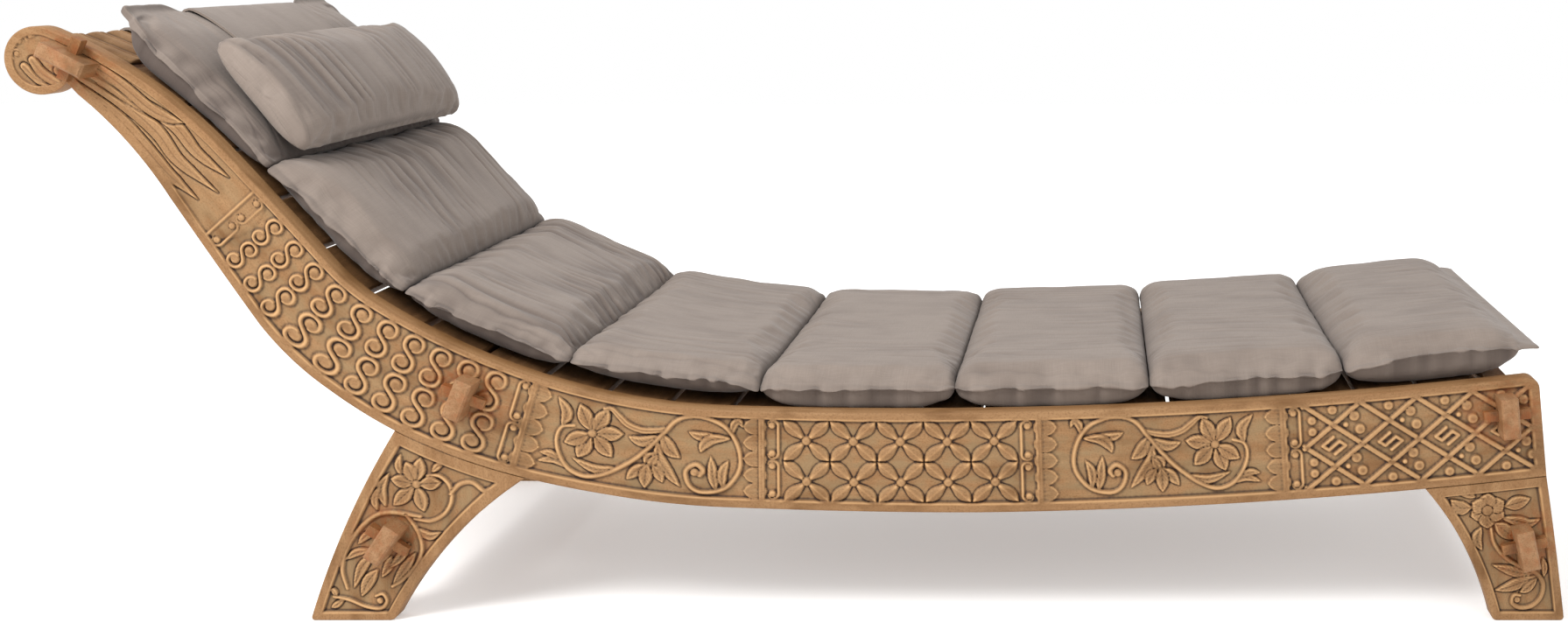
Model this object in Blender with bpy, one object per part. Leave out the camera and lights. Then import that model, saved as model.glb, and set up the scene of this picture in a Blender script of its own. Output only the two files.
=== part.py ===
"""Outdoor daybed: two carved, S-curved hardwood side boards on splayed legs, tied together by
five cross rails with wedged through tenons, a slatted bed and a channelled cushion with a pillow.

Row frame: +X towards the foot, +Z up, the bed centred on Y. The right side is at -Y.
Boards, rails, slats and pads are all placed along one curve, the seat line: the top edge of a side
board, measured as s from the neck of the scroll to the foot. d is the height square to that line.
"""
import bpy
import bmesh
from math import ceil, cos, pi, radians, sin
from mathutils import Matrix

for old in list(bpy.data.objects):
    bpy.data.objects.remove(old, do_unlink=True)

# Fits
CLEAR = 0.0003            # gap kept on every face of a fit
CHORD = 0.045             # longest chord along a curved edge
OVERSHOOT = 0.01          # a cutter reaches this far past the face it cuts

# Overall
HALF_LENGTH = 1.049       # scroll to toe is twice this
INNER_WIDTH = 0.686       # between the side boards
BOARD_THICK = 0.032
INNER = INNER_WIDTH / 2
FACE = INNER + BOARD_THICK

# Seat line: heading at the neck, then tangent arcs as (length, turn)
NECK_HEADING = radians(-23.5)
NECK_HEIGHT = 0.8185
NECK_ARC = (0.269, radians(-25.7))
BACK_ARC = (0.204, radians(-1.5))
LUMBAR_ARC = (0.083, radians(17.6))
HIP_ARC = (0.496, radians(31.2))
BACK_REACH = 0.986        # length of the bed before the seat begins
SEAT_ARC = (2 * HALF_LENGTH - BACK_REACH, radians(8.7))
SEAT_ARCS = (NECK_ARC, BACK_ARC, LUMBAR_ARC, HIP_ARC, SEAT_ARC)
BED_END = sum(length for length, turn in SEAT_ARCS)

# Side board: widths at places along the seat line, scroll and foot corner
BOARD_WIDTHS = ((0.05, 0.060), (0.30, 0.105), (0.48, 0.131),
                (0.66, 0.147), (0.93, 0.138), (1.40, 0.142))
LOWER_EDGE_START = 0.070
SCROLL_R = 0.045
SCROLL_CREASE = radians(-40)
SCROLL_STEP = radians(20)
FOOT_CORNER_R = 0.016
NECK_X = SCROLL_R * (1 - sin(NECK_HEADING)) - HALF_LENGTH

# Sunk fields of the carving, between plain borders and dividers
FIELD_DEPTH = 0.005
BORDER_TOP = 0.014
BORDER_LOW = 0.012
FIELD_NECK_START = 0.090
BACK_DIVIDERS = ((0.333, 0.362), (0.760, 0.796))
SEAT_DIVIDERS = ((1.070, 1.040), (0.712, 0.676), (0.359, 0.325))      # measured from the foot
DIVIDERS = BACK_DIVIDERS + tuple((BED_END - a, BED_END - b) for a, b in SEAT_DIVIDERS)
FIELD_END = BED_END - BORDER_TOP

# Legs: the stretch of lower edge they stand under, toes on the floor, bow of the edges
HEAD_LEG_TOP = (0.647, 0.809)
HEAD_TOE_IN = 0.346               # from the scroll's end to the leg
HEAD_TOE_LONG = 0.117
HEAD_LEG_TOES = (HEAD_TOE_IN - HALF_LENGTH, HEAD_TOE_IN + HEAD_TOE_LONG - HALF_LENGTH)
HEAD_LEG_BOWS = (0.009, -0.017)
FOOT_LEG_WIDE = 0.164
FOOT_LEG_TOP = (BED_END - FOOT_LEG_WIDE, BED_END)
FOOT_TOE_LONG = 0.100
FOOT_LEG_TOES = (HALF_LENGTH - FOOT_TOE_LONG, HALF_LENGTH)
FOOT_LEG_BOWS = (0.006, 0.001)
TOE_CHAMFER = 0.006
LEG_BORDER = 0.013
LEG_SLANT = 1.35                  # a border is this much wider level than square to a leaning edge
TONGUE_THICK = 0.012
TONGUE_DEPTH = 0.038
HEAD_TONGUE = (0.728, 0.090)      # middle along the seat line, width
FOOT_TONGUE = (BED_END - FOOT_LEG_WIDE / 2, 0.080)

# Wedged joints
TENON_REACH = 0.040               # past the board's face
TENON_LONG = 0.056
TENON_THICK = 0.024
CREST_TENON_LONG = 0.064
CREST_TENON_THICK = 0.020
TENON_CHAMFER = 0.003
WEDGE_LENGTH = 0.062
WEDGE_WIDTH = 0.014
WEDGE_THICK_END = 0.017
WEDGE_THIN_END = 0.011
SLOT_DRAW = 0.002                 # the slot starts this far inside the board's face
WEDGE_PAD_LONG = 0.076
WEDGE_PAD_WIDE = 0.040

# Cross rails: section sizes and places
RAIL_THICK = 0.030
CREST_AT = (0.045, -0.022)
CREST_WIDE = 0.084
LUMBAR_AT = (0.709, -0.058)
LUMBAR_WIDE = 0.062
FOOT_RAIL_IN = 0.049              # from the board's end
FOOT_RAIL_AT = (BED_END - FOOT_RAIL_IN, -0.046)
FOOT_RAIL_WIDE = 0.080
STRETCHER_WIDE = 0.074
HEAD_STRETCHER_AT = (0.5014, -0.0211)     # share of the leg's height, shift from its middle
HEAD_STRETCHER_LEAN = radians(-35)
FOOT_STRETCHER_AT = (0.5622, 0.0254)
FOOT_STRETCHER_LEAN = radians(13)

# Slats and their ledgers
SLAT_COUNT = 23
SLAT_START = 0.0965
SLAT_FOOT_GAP = 0.0711            # from the last slat to the board's end
SLAT_PITCH = (BED_END - SLAT_FOOT_GAP - SLAT_START) / SLAT_COUNT
SLAT_GAP = 0.006
SLAT_WIDE = SLAT_PITCH - SLAT_GAP
SLAT_THICK = 0.020
SLAT_DROP = 0.006                 # slat tops below the board's edge
SLAT_CHAMFER = 0.003
LEDGER_DEEP = 0.030
LEDGER_THICK = 0.025
LEDGER_FOOT_GAP = 0.002
LEDGER_LEAST = 0.01               # shortest flat left at a ledger's end

# Cushion: pads in one cover, five under the seat and three up the back
CUSHION_WIDE = 0.680
CUSHION_HEAD = 0.070
HIP_SEAM = 0.820
CUSHION_OVERHANG = 0.011          # past the board's end
CUSHION_END = BED_END + CUSHION_OVERHANG
BACK_PADS = 3
BACK_PAD_PITCH = (HIP_SEAM - CUSHION_HEAD) / BACK_PADS
SEAT_PADS = 5
SEAT_PAD_PITCH = (CUSHION_END - HIP_SEAM) / SEAT_PADS
PAD_LIFT = 0.0008                 # underside above the highest slat nearby
PAD_CROWN = 0.066
HEAD_PAD_SWELL = 0.014            # the pillow presses the head pad flat
SEAM_HEIGHT = 0.026
HEAD_RIM_HEIGHT = 0.054
FOOT_RIM_HEIGHT = 0.036
RIM_HALF = 0.005
DRAW_IN = 0.012
PAD_STEPS = (10, 12)
# Stuffed profiles as (power, root): a higher power is flatter in the middle, a lower root steeper
# at the rim
TOP_ALONG = (2.4, 0.6)
TOP_ACROSS = (4, 0.6)
UNDER_ALONG = (4, 0.5)
UNDER_ACROSS = (10, 0.5)
RIM_LINE = (2, 0.5)

# Pillow on the head pad, and the flap that holds it
PILLOW_SPAN = (0.157, 0.337)
PILLOW_WIDE = 0.640
PILLOW_THICK = 0.068
PILLOW_RIM = 0.026
FLAP_WIDE = 0.350
FLAP_THICK = 0.003
FLAP_HANG = 0.070
FLAP_STEP = 0.018
FLAP_EASE = 0.004                 # how far the flap stands off the edges it turns over
FLAP_DROP_IN = 0.012              # where it comes down on the crest rail, behind the pad

# Colours from the photograph, linear, with roughness
TEAK = ((0.44, 0.24, 0.10), 0.62)
TEAK_PALE = ((0.50, 0.29, 0.14), 0.66)
TEAK_DARK = ((0.33, 0.16, 0.07), 0.66)
CLOTH = ((0.30, 0.26, 0.23), 0.92)
CLOTH_CREASE = radians(50)        # sharper turns than this stay creased


# Curve helpers

def seat(s):
    """Point and heading of the seat line at s."""
    x, z, heading = NECK_X, NECK_HEIGHT, NECK_HEADING
    for arc in SEAT_ARCS:
        length, turn = arc
        run = min(s, length) if arc is not SEAT_ARC else s
        end = heading + turn / length * run
        x += (sin(end) - sin(heading)) * length / turn
        z -= (cos(end) - cos(heading)) * length / turn
        heading, s = end, s - run
        if s <= 0:
            break
    return x, z, heading


def at(s, d):
    """Point at height d square to the seat line."""
    x, z, heading = seat(s)
    return x - d * sin(heading), z + d * cos(heading)


def slat_top(s):
    """Height of the slats near s: a flat slat stands above a hollow stretch of the curve."""
    bend = 0.0
    for near in (s - SLAT_PITCH, s, s + SLAT_PITCH):
        bend = max(bend, (seat(near + CHORD / 2)[2] - seat(near - CHORD / 2)[2]) / CHORD)
    return bend * SLAT_PITCH ** 2 / 8 - SLAT_DROP


def board_width(s):
    """Width of a side board: a smooth curve through the named widths."""
    places = BOARD_WIDTHS
    if s <= places[0][0] or s >= places[-1][0]:
        return places[0][1] if s <= places[0][0] else places[-1][1]
    i = max(k for k, (at_s, width) in enumerate(places[:-1]) if at_s <= s)
    (s0, w0), (s1, w1) = places[i], places[i + 1]
    before, after = places[max(i - 1, 0)], places[min(i + 2, len(places) - 1)]
    m0 = (w1 - before[1]) / (s1 - before[0]) * (s1 - s0)
    m1 = (after[1] - w0) / (after[0] - s0) * (s1 - s0)
    t = (s - s0) / (s1 - s0)
    return (w0 * (1 + 2 * t) + m0 * t) * (1 - t) ** 2 + (w1 * (3 - 2 * t) - m1 * (1 - t)) * t ** 2


def span(a, b, step=CHORD):
    """Evenly spaced values from a to b, no further apart than step."""
    count = max(1, ceil(abs(b - a) / step - 1e-9))
    return [a + (b - a) * i / count for i in range(count + 1)]


def lower_edge(s0, s1, drop=0.0):
    return [at(s, -board_width(s) - drop) for s in span(s0, s1)]


def bow(p, q, sag, count=6):
    """Points along a shallow bow from p to q that stands sag to the right of the chord."""
    (px, pz), (qx, qz) = p, q
    steps = [i / count for i in range(count + 1)]
    long = ((qx - px) ** 2 + (qz - pz) ** 2) ** 0.5
    nx, nz = (qz - pz) / long, (px - qx) / long
    return [(px + (qx - px) * t + nx * sag * 4 * t * (1 - t),
             pz + (qz - pz) * t + nz * sag * 4 * t * (1 - t)) for t in steps]


def rect(centre, lean, half_long, half_wide, shift=0.0):
    """Rectangle whose long side leans from vertical by lean, moved by shift along that side."""
    ax, az, bx, bz = -sin(lean), cos(lean), cos(lean), sin(lean)
    return [(centre[0] + ax * (i * half_long + shift) + bx * j * half_wide,
             centre[1] + az * (i * half_long + shift) + bz * j * half_wide)
            for i, j in ((-1, -1), (-1, 1), (1, 1), (1, -1))]


# Mesh helpers

def loft(sections):
    """Closed body through outlines (y, [(x, z), ...]) that all have the same number of points."""
    verts = [(x, y, z) for y, outline in sections for x, z in outline]
    n = len(sections[0][1])
    faces = [tuple(range(n)), tuple(range(len(verts) - n, len(verts)))]
    for ring in range(len(sections) - 1):
        a, b = ring * n, (ring + 1) * n
        faces += [(a + i, a + (i + 1) % n, b + (i + 1) % n, b + i) for i in range(n)]
    return verts, faces


def prism(outline, y0, y1):
    return loft([(y0, outline), (y1, outline)])


def turned(body, matrix):
    return [tuple(matrix @ Matrix.Translation(v).translation) for v in body[0]], body[1]


def make(name, bodies, look=None, place=None):
    """Object from one or more closed bodies. Without a look it is a hidden cutter."""
    mesh = bpy.data.meshes.new(name)
    verts, faces = [], []
    for body_verts, body_faces in bodies:
        faces += [tuple(i + len(verts) for i in face) for face in body_faces]
        verts += body_verts
    mesh.from_pydata(verts, [], faces)
    work = bmesh.new()
    work.from_mesh(mesh)
    bmesh.ops.recalc_face_normals(work, faces=work.faces)
    work.to_mesh(mesh)
    work.free()
    obj = bpy.data.objects.new(name, mesh)
    bpy.context.scene.collection.objects.link(obj)
    if place:
        obj.matrix_world = place
    if look is None:
        obj.hide_render = True
        obj.display_type = 'WIRE'
    else:
        mesh.materials.append(finish(name, look))
    if look is CLOTH:
        mesh.shade_smooth()
        mesh.set_sharp_from_angle(angle=CLOTH_CREASE)
    return obj


def finish(name, look):
    material = bpy.data.materials.new(name + "_finish")
    material.use_nodes = True
    shader = material.node_tree.nodes["Principled BSDF"]
    shader.inputs["Base Color"].default_value = (*look[0], 1.0)
    shader.inputs["Roughness"].default_value = look[1]
    shader.inputs["Metallic"].default_value = 0.0
    return material


def cut(obj, tool, how='DIFFERENCE'):
    step = obj.modifiers.new(tool.name, 'BOOLEAN')
    step.operation, step.object, step.solver = how, tool, 'EXACT'


# Wedged joints: (name, centre, lean of the tenon's long side, tenon length, thickness, board or leg,
# direction of the wedge's thick end: 1 or -1)

def lean_at(s):
    return seat(s)[2]


def in_leg(leg_top, toes, rise, shift):
    """Point at a share of a leg's height, moved by shift from the leg's middle line."""
    (x0, z0), (x1, z1) = [at(s, -board_width(s)) for s in leg_top]
    foot = sum(toes) / 2
    return foot + ((x0 + x1) / 2 - foot) * rise + shift, (z0 + z1) / 2 * rise


JOINTS = (
    ("crest", at(*CREST_AT), lean_at(CREST_AT[0]) + pi / 2, CREST_TENON_LONG, CREST_TENON_THICK,
     "side_board", 1),
    ("lumbar", at(*LUMBAR_AT), lean_at(LUMBAR_AT[0]), TENON_LONG, TENON_THICK, "side_board", -1),
    ("foot", at(*FOOT_RAIL_AT), lean_at(FOOT_RAIL_AT[0]), TENON_LONG, TENON_THICK, "side_board", 1),
    ("head_leg", in_leg(HEAD_LEG_TOP, HEAD_LEG_TOES, *HEAD_STRETCHER_AT), HEAD_STRETCHER_LEAN,
     TENON_LONG, TENON_THICK, "head_leg", -1),
    ("foot_leg", in_leg(FOOT_LEG_TOP, FOOT_LEG_TOES, *FOOT_STRETCHER_AT), FOOT_STRETCHER_LEAN,
     TENON_LONG, TENON_THICK, "foot_leg", 1),
)


def wedge_frame(centre, lean, thick_end, side):
    """Wedge axes: X to the thick end, Y out of the board's face, Z along the tenon's long side."""
    bx, bz = thick_end * cos(lean), thick_end * sin(lean)
    ax, az = -sin(lean) * side * thick_end, cos(lean) * side * thick_end
    return Matrix(((bx, 0, ax, centre[0]), (0, side, 0, side * FACE),
                   (bz, 0, az, centre[1]), (0, 0, 0, 1)))


def wedge_body(half_length, half_width, inside, slack):
    """Tapered bar, as tall square to the face as the taper gives at each end."""
    slope = (WEDGE_THICK_END - WEDGE_THIN_END) / WEDGE_LENGTH
    middle = (WEDGE_THICK_END + WEDGE_THIN_END) / 2 + slack
    verts = [(x, y, z) for x in (-half_length, half_length) for z in (-half_width, half_width)
             for y in (inside, middle + slope * x)]
    return verts, [(0, 1, 3, 2), (4, 6, 7, 5), (0, 4, 5, 1), (2, 3, 7, 6), (0, 2, 6, 4), (1, 5, 7, 3)]


def wedges():
    for name, centre, lean, long, thick, host, end in JOINTS:
        for side, hand in ((-1, "right"), (1, "left")):
            body = wedge_body(WEDGE_LENGTH / 2, WEDGE_WIDTH / 2, CLEAR, 0.0)
            make(f"{name}_wedge_{hand}", [body], TEAK_PALE, wedge_frame(centre, lean, end, side))


def slots(joint):
    name, centre, lean, long, thick, host, end = joint
    body = wedge_body(thick, WEDGE_WIDTH / 2 + CLEAR, -SLOT_DRAW, CLEAR)
    frames = [wedge_frame(centre, lean, end, side) for side in (-1, 1)]
    return make(f"{name}_slots", [turned(body, frame) for frame in frames])


def rail(name, joint, wide, body_thick, shift=0.0):
    """Cross rail with shoulders, through tenons with eased ends, and a slot for each wedge."""
    key, centre, lean, long, thick, host, end = joint
    body = rect(centre, lean, wide / 2, body_thick / 2, shift)
    tenon = rect(centre, lean, long / 2, thick / 2)
    eased = rect(centre, lean, long / 2 - TENON_CHAMFER, thick / 2 - TENON_CHAMFER)
    tip, shoulder = FACE + TENON_REACH, INNER - CLEAR
    half = [(tip, eased), (tip - TENON_CHAMFER, tenon), (shoulder, tenon), (shoulder, body)]
    obj = make(name, [loft([(-y, o) for y, o in half] + [(y, o) for y, o in reversed(half)])], TEAK)
    cut(obj, slots(joint))


def mortise(joint):
    key, centre, lean, long, thick, host, end = joint
    return rect(centre, lean, long / 2 + CLEAR, thick / 2 + CLEAR)


def wedge_pad(joint):
    """Full-height ground left in the carving for the wedge to bear on."""
    key, centre, lean, long, thick, host, end = joint
    return rect(centre, lean, WEDGE_PAD_WIDE / 2, WEDGE_PAD_LONG / 2)


# Side boards and legs

def board_outline():
    s1, r = BED_END, FOOT_CORNER_R
    top = [at(s, 0) for s in span(0, s1 - r)]
    corner = [at(s1 - r + r * sin(t), r * cos(t) - r) for t in (pi / 6, pi / 3, pi / 2)]
    low = lower_edge(s1, LOWER_EDGE_START)
    cx, cz = at(0, -SCROLL_R)
    turns = span(SCROLL_CREASE, -pi, SCROLL_STEP)
    turns += span(-pi, NECK_HEADING - 3 * pi / 2, SCROLL_STEP)[1:-1]
    return top + corner + low + [(cx + SCROLL_R * cos(t), cz + SCROLL_R * sin(t)) for t in turns]


def field(s0, s1):
    """Outline of one sunk field, between the top and the lower border."""
    top = [at(s, -BORDER_TOP) for s in span(s0, s1)]
    return top + [at(s, BORDER_LOW - board_width(s)) for s in span(s1, s0)]


def leg_edges(leg_top, toes, bows, inset=0.0):
    """Left and right edge of a leg from top to floor, moved in by inset."""
    left = bow(at(leg_top[0], -board_width(leg_top[0])), (toes[0], 0), bows[0])
    right = bow(at(leg_top[1], -board_width(leg_top[1])), (toes[1], 0), -bows[1])
    if not inset:
        return left, right
    moved = []
    for (lx, lz), (rx, rz) in zip(left, right):
        reach = LEG_SLANT * inset / ((rx - lx) ** 2 + (rz - lz) ** 2) ** 0.5
        moved.append(((lx + (rx - lx) * reach, lz + (rz - lz) * reach),
                      (rx - (rx - lx) * reach, rz - (rz - lz) * reach)))
    return [m[0] for m in moved], [m[1] for m in moved]


def leg_outline(leg_top, toes, bows):
    left, right = leg_edges(leg_top, toes, bows)
    top = lower_edge(*leg_top, drop=CLEAR)
    c = TOE_CHAMFER
    floor = [(toes[1], c), (toes[1] - c, 0), (toes[0] + c, 0), (toes[0], c)]
    return top + right[1:-1] + floor + left[-2:0:-1]


def leg_field(leg_top, toes, bows):
    left, right = leg_edges(leg_top, toes, bows, LEG_BORDER)
    top = lower_edge(leg_top[0] + 2 * LEG_BORDER, leg_top[1] - 2 * LEG_BORDER, drop=LEG_BORDER)
    floor = [(right[-1][0], LEG_BORDER), (left[-1][0], LEG_BORDER)]
    return top + right[1:-1] + floor + left[-2:0:-1]


def tongue(where, grow):
    """Stub tongue on top of a leg, as an outline square to the seat line."""
    s, wide = where
    edge = board_width(s)
    return rect(at(s, -edge), lean_at(s), TONGUE_DEPTH + grow, wide / 2 + grow)


def side(hand, sign):
    """One side: a board and two legs, with sunk fields, mortises and tongues."""
    inner, face = sign * INNER, sign * FACE
    sunk, past = sign * (FACE - FIELD_DEPTH), sign * (FACE + OVERSHOOT)
    middle = sign * (INNER + FACE) / 2
    half_tongue = TONGUE_THICK / 2

    def fields(name, outlines, joints):
        tool = make(f"{name}_fields", [prism(o, sunk, past) for o in outlines])
        below, above = sunk - sign * OVERSHOOT, past + sign * OVERSHOOT
        cut(tool, make(f"{name}_pads", [prism(wedge_pad(j), below, above) for j in joints]))
        return tool

    def through(name, joints):
        below = inner - sign * OVERSHOOT
        return make(f"{name}_mortises", [prism(mortise(j), below, past) for j in joints])

    name = f"side_board_{hand}"
    joints = [j for j in JOINTS if j[5] == "side_board"]
    edges = [FIELD_NECK_START] + [s for pair in DIVIDERS for s in pair] + [FIELD_END]
    board = make(name, [prism(board_outline(), inner, face)], TEAK)
    cut(board, fields(name, [field(a, b) for a, b in zip(edges[::2], edges[1::2])], joints))
    cut(board, through(name, joints))
    cut(board, make(f"{name}_sockets", [
        prism(tongue(t, CLEAR), middle - half_tongue - CLEAR, middle + half_tongue + CLEAR)
        for t in (HEAD_TONGUE, FOOT_TONGUE)]))

    for end, sizes, where in (("head", (HEAD_LEG_TOP, HEAD_LEG_TOES, HEAD_LEG_BOWS), HEAD_TONGUE),
                              ("foot", (FOOT_LEG_TOP, FOOT_LEG_TOES, FOOT_LEG_BOWS), FOOT_TONGUE)):
        name = f"{end}_leg_{hand}"
        joints = [j for j in JOINTS if j[5] == f"{end}_leg"]
        leg = make(name, [prism(leg_outline(*sizes), inner, face)], TEAK)
        stub = prism(tongue(where, 0), middle - half_tongue, middle + half_tongue)
        cut(leg, make(f"{name}_tongue", [stub]), 'UNION')
        cut(leg, fields(name, [leg_field(*sizes)], joints))
        cut(leg, through(name, joints))


# Slatted bed

def slats():
    half, bottom, c = SLAT_WIDE / 2, -SLAT_THICK, SLAT_CHAMFER
    outline = [(-half, bottom), (half, bottom), (half, -c), (half - c, 0), (c - half, 0), (-half, -c)]
    for i in range(SLAT_COUNT):
        (x0, z0), (x1, z1) = [at(SLAT_START + SLAT_PITCH * k, -SLAT_DROP) for k in (i, i + 1)]
        run = Matrix(((x1 - x0, 0, z0 - z1, 0), (0, 1, 0, 0), (z1 - z0, 0, x1 - x0, 0), (0, 0, 0, 1)))
        turn = run.to_quaternion().to_matrix().to_4x4()
        place = Matrix.Translation(((x0 + x1) / 2, 0, (z0 + z1) / 2)) @ turn
        reach = INNER - 2 * CLEAR
        make(f"slat_{i + 1:02d}", [prism(outline, -reach, reach)], TEAK_DARK, place)


def ledger(name, sign, s0, s1):
    """Curved bearer screwed inside a board, with one flat for each slat."""
    flats = [SLAT_START + SLAT_PITCH * k for k in range(SLAT_COUNT + 1)]
    stops = [s0] + [s for s in flats if s0 + LEDGER_LEAST < s < s1 - LEDGER_LEAST] + [s1]
    top = -SLAT_DROP - SLAT_THICK - 2 * CLEAR

    def bearing(s):
        k = min(int((s - SLAT_START) / SLAT_PITCH), SLAT_COUNT - 1)
        (x0, z0), (x1, z1) = at(flats[k], top), at(flats[k + 1], top)
        t = (s - flats[k]) / SLAT_PITCH
        return x0 + (x1 - x0) * t, z0 + (z1 - z0) * t

    outline = [bearing(s) for s in stops] + [at(s, top - LEDGER_DEEP) for s in reversed(stops)]
    make(name, [prism(outline, sign * (INNER - CLEAR), sign * (INNER - LEDGER_THICK))], TEAK_DARK)


# Cushion and pillow

def spread(count):
    """Values from 0 to 1, closer together at the ends."""
    return [0.5 - 0.5 * cos(pi * i / count) for i in range(count + 1)]


def swell(t, power, root):
    """Stuffed profile: 0 at both ends of 0..1 and 1 in the middle."""
    return max(0.0, 1 - abs(2 * t - 1) ** power) ** root


def bulge(u):
    """Rise of a pad's top between its two seams."""
    return swell(u, *TOP_ALONG)


def stuffed(s0, s1, wide, rim, crown, rest, rim_half, draw_in):
    """Closed stuffed body between s0 and s1. rim, crown and rest give its heights at any s."""
    us, vs = spread(PAD_STEPS[0]), spread(PAD_STEPS[1])
    verts, faces, index = [], [], {}
    for face in (1, -1):
        for i, u in enumerate(us):
            s = s0 + (s1 - s0) * u
            half = wide / 2 - draw_in * (1 - swell(u, *RIM_LINE))
            for j, v in enumerate(vs):
                if face > 0:
                    d = rim(s) + rim_half
                    d += (crown(s) - d) * bulge(u) * swell(v, *TOP_ACROSS)
                else:
                    d = rim(s) - rim_half
                    d += (rest(s) - d) * swell(u, *UNDER_ALONG) * swell(v, *UNDER_ACROSS)
                x, z = at(s, d)
                index[face, i, j] = len(verts)
                verts.append((x, (2 * v - 1) * half, z))
    nu, nv = PAD_STEPS
    for face in (1, -1):
        for i in range(nu):
            faces += [(index[face, i, j], index[face, i + 1, j],
                       index[face, i + 1, j + 1], index[face, i, j + 1]) for j in range(nv)]
    border = [(i, 0) for i in range(nu)] + [(nu, j) for j in range(nv)]
    border += [(i, nv) for i in range(nu, 0, -1)] + [(0, j) for j in range(nv, 0, -1)]
    for a, b in zip(border, border[1:] + border[:1]):
        faces.append((index[(1, *a)], index[(1, *b)], index[(-1, *b)], index[(-1, *a)]))
    return verts, faces


def between(s0, d0, s1, d1):
    """Height that runs straight from d0 at s0 to d1 at s1."""
    return lambda s: d0 + (d1 - d0) * (s - s0) / (s1 - s0)


def head_rim(s):
    return between(CUSHION_HEAD, HEAD_RIM_HEIGHT, CUSHION_HEAD + BACK_PAD_PITCH, SEAM_HEIGHT)(s)


def head_crown(s):
    return head_rim(s) + HEAD_PAD_SWELL


def cushion():
    seams = [CUSHION_HEAD + BACK_PAD_PITCH * k for k in range(BACK_PADS)]
    seams += [HIP_SEAM + SEAT_PAD_PITCH * k for k in range(SEAT_PADS)] + [CUSHION_END]
    for i, (s0, s1) in enumerate(zip(seams, seams[1:])):
        last = FOOT_RIM_HEIGHT if s1 == CUSHION_END else SEAM_HEIGHT
        rim, crown = between(s0, SEAM_HEIGHT, s1, last), lambda s: PAD_CROWN
        if i == 0:
            rim, crown = head_rim, head_crown
        body = stuffed(s0 + CLEAR, s1 - CLEAR, CUSHION_WIDE, rim, crown,
                       lambda s: slat_top(s) + PAD_LIFT, RIM_HALF, DRAW_IN)
        make(f"cushion_pad_{i + 1}", [body], CLOTH)


def pillow():
    """Pillow on the head pad, and its flap over the pad's end and the crest rail."""
    make("head_pillow", [stuffed(*PILLOW_SPAN, PILLOW_WIDE, lambda s: head_crown(s) + PILLOW_RIM,
                                 lambda s: head_crown(s) + PILLOW_THICK, lambda s: head_crown(s) + CLEAR,
                                 PILLOW_RIM / 2, DRAW_IN)], CLOTH)

    def on_pad(s):
        low, along = head_rim(s) + RIM_HALF, (s - CUSHION_HEAD) / BACK_PAD_PITCH
        return at(s, low + (head_crown(s) - low) * bulge(along) + 2 * CLEAR)

    def on_crest(along, above=0.0):
        x, z, heading = *at(*CREST_AT), lean_at(CREST_AT[0])
        up = RAIL_THICK / 2 + CLEAR + above
        return x + along * cos(heading) - up * sin(heading), z + along * sin(heading) + up * cos(heading)

    back = -CREST_WIDE / 2
    behind, ease = CUSHION_HEAD - FLAP_EASE, FLAP_EASE
    path = [on_pad(s) for s in span(PILLOW_SPAN[0] - CLEAR, CUSHION_HEAD + ease, FLAP_STEP)]
    path += [at(behind, HEAD_RIM_HEIGHT + RIM_HALF), at(behind, HEAD_RIM_HEIGHT - RIM_HALF)]
    path += [on_crest(FLAP_DROP_IN, FLAP_DROP_IN), on_crest(0.0), on_crest(back)]
    path += [on_crest(back - ease, -ease), on_crest(back - ease, -RAIL_THICK)]
    path.append((path[-1][0], path[-1][1] - FLAP_HANG))
    make("pillow_flap", [prism(path + thicken(path)[::-1], -FLAP_WIDE / 2, FLAP_WIDE / 2)], CLOTH)


def thicken(path):
    """The same path moved by the flap's thickness to its outer side."""
    out = []
    for i, (x, z) in enumerate(path):
        (x0, z0), (x1, z1) = path[max(i - 1, 0)], path[min(i + 1, len(path) - 1)]
        long = ((x1 - x0) ** 2 + (z1 - z0) ** 2) ** 0.5
        out.append((x + (z1 - z0) / long * FLAP_THICK, z - (x1 - x0) / long * FLAP_THICK))
    return out


# Build

for hand, sign in (("right", -1), ("left", 1)):
    side(hand, sign)
    ledger(f"back_ledger_{hand}", sign, SLAT_START, LUMBAR_AT[0] - RAIL_THICK / 2 - 2 * CLEAR)
    ledger(f"seat_ledger_{hand}", sign, LUMBAR_AT[0] + RAIL_THICK / 2 + 2 * CLEAR,
           FOOT_RAIL_AT[0] - RAIL_THICK / 2 - LEDGER_FOOT_GAP)

CREST, LUMBAR, FOOT, HEAD_LEG, FOOT_LEG = JOINTS
rail("crest_rail", CREST, CREST_WIDE, RAIL_THICK)
rail("lumbar_rail", LUMBAR, LUMBAR_WIDE, RAIL_THICK)
rail("foot_rail", FOOT, FOOT_RAIL_WIDE, RAIL_THICK)
rail("head_leg_stretcher", HEAD_LEG, STRETCHER_WIDE, RAIL_THICK)
rail("foot_leg_stretcher", FOOT_LEG, STRETCHER_WIDE, RAIL_THICK)
wedges()
slats()
cushion()
pillow()
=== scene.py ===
# %% [markdown]
# # An outdoor daybed in carved teak
# The real bed is a pair of S-curved teak sides, carved by hand and tied together with five cross
# rails whose tenons run right through and are locked with loose wedges. A slatted bed carries one
# long quilted cushion and a pillow. The solids come ready made, so this lesson adds what they leave
# out: the carving, the grain, the stuffing, the folds and the light.

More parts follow.
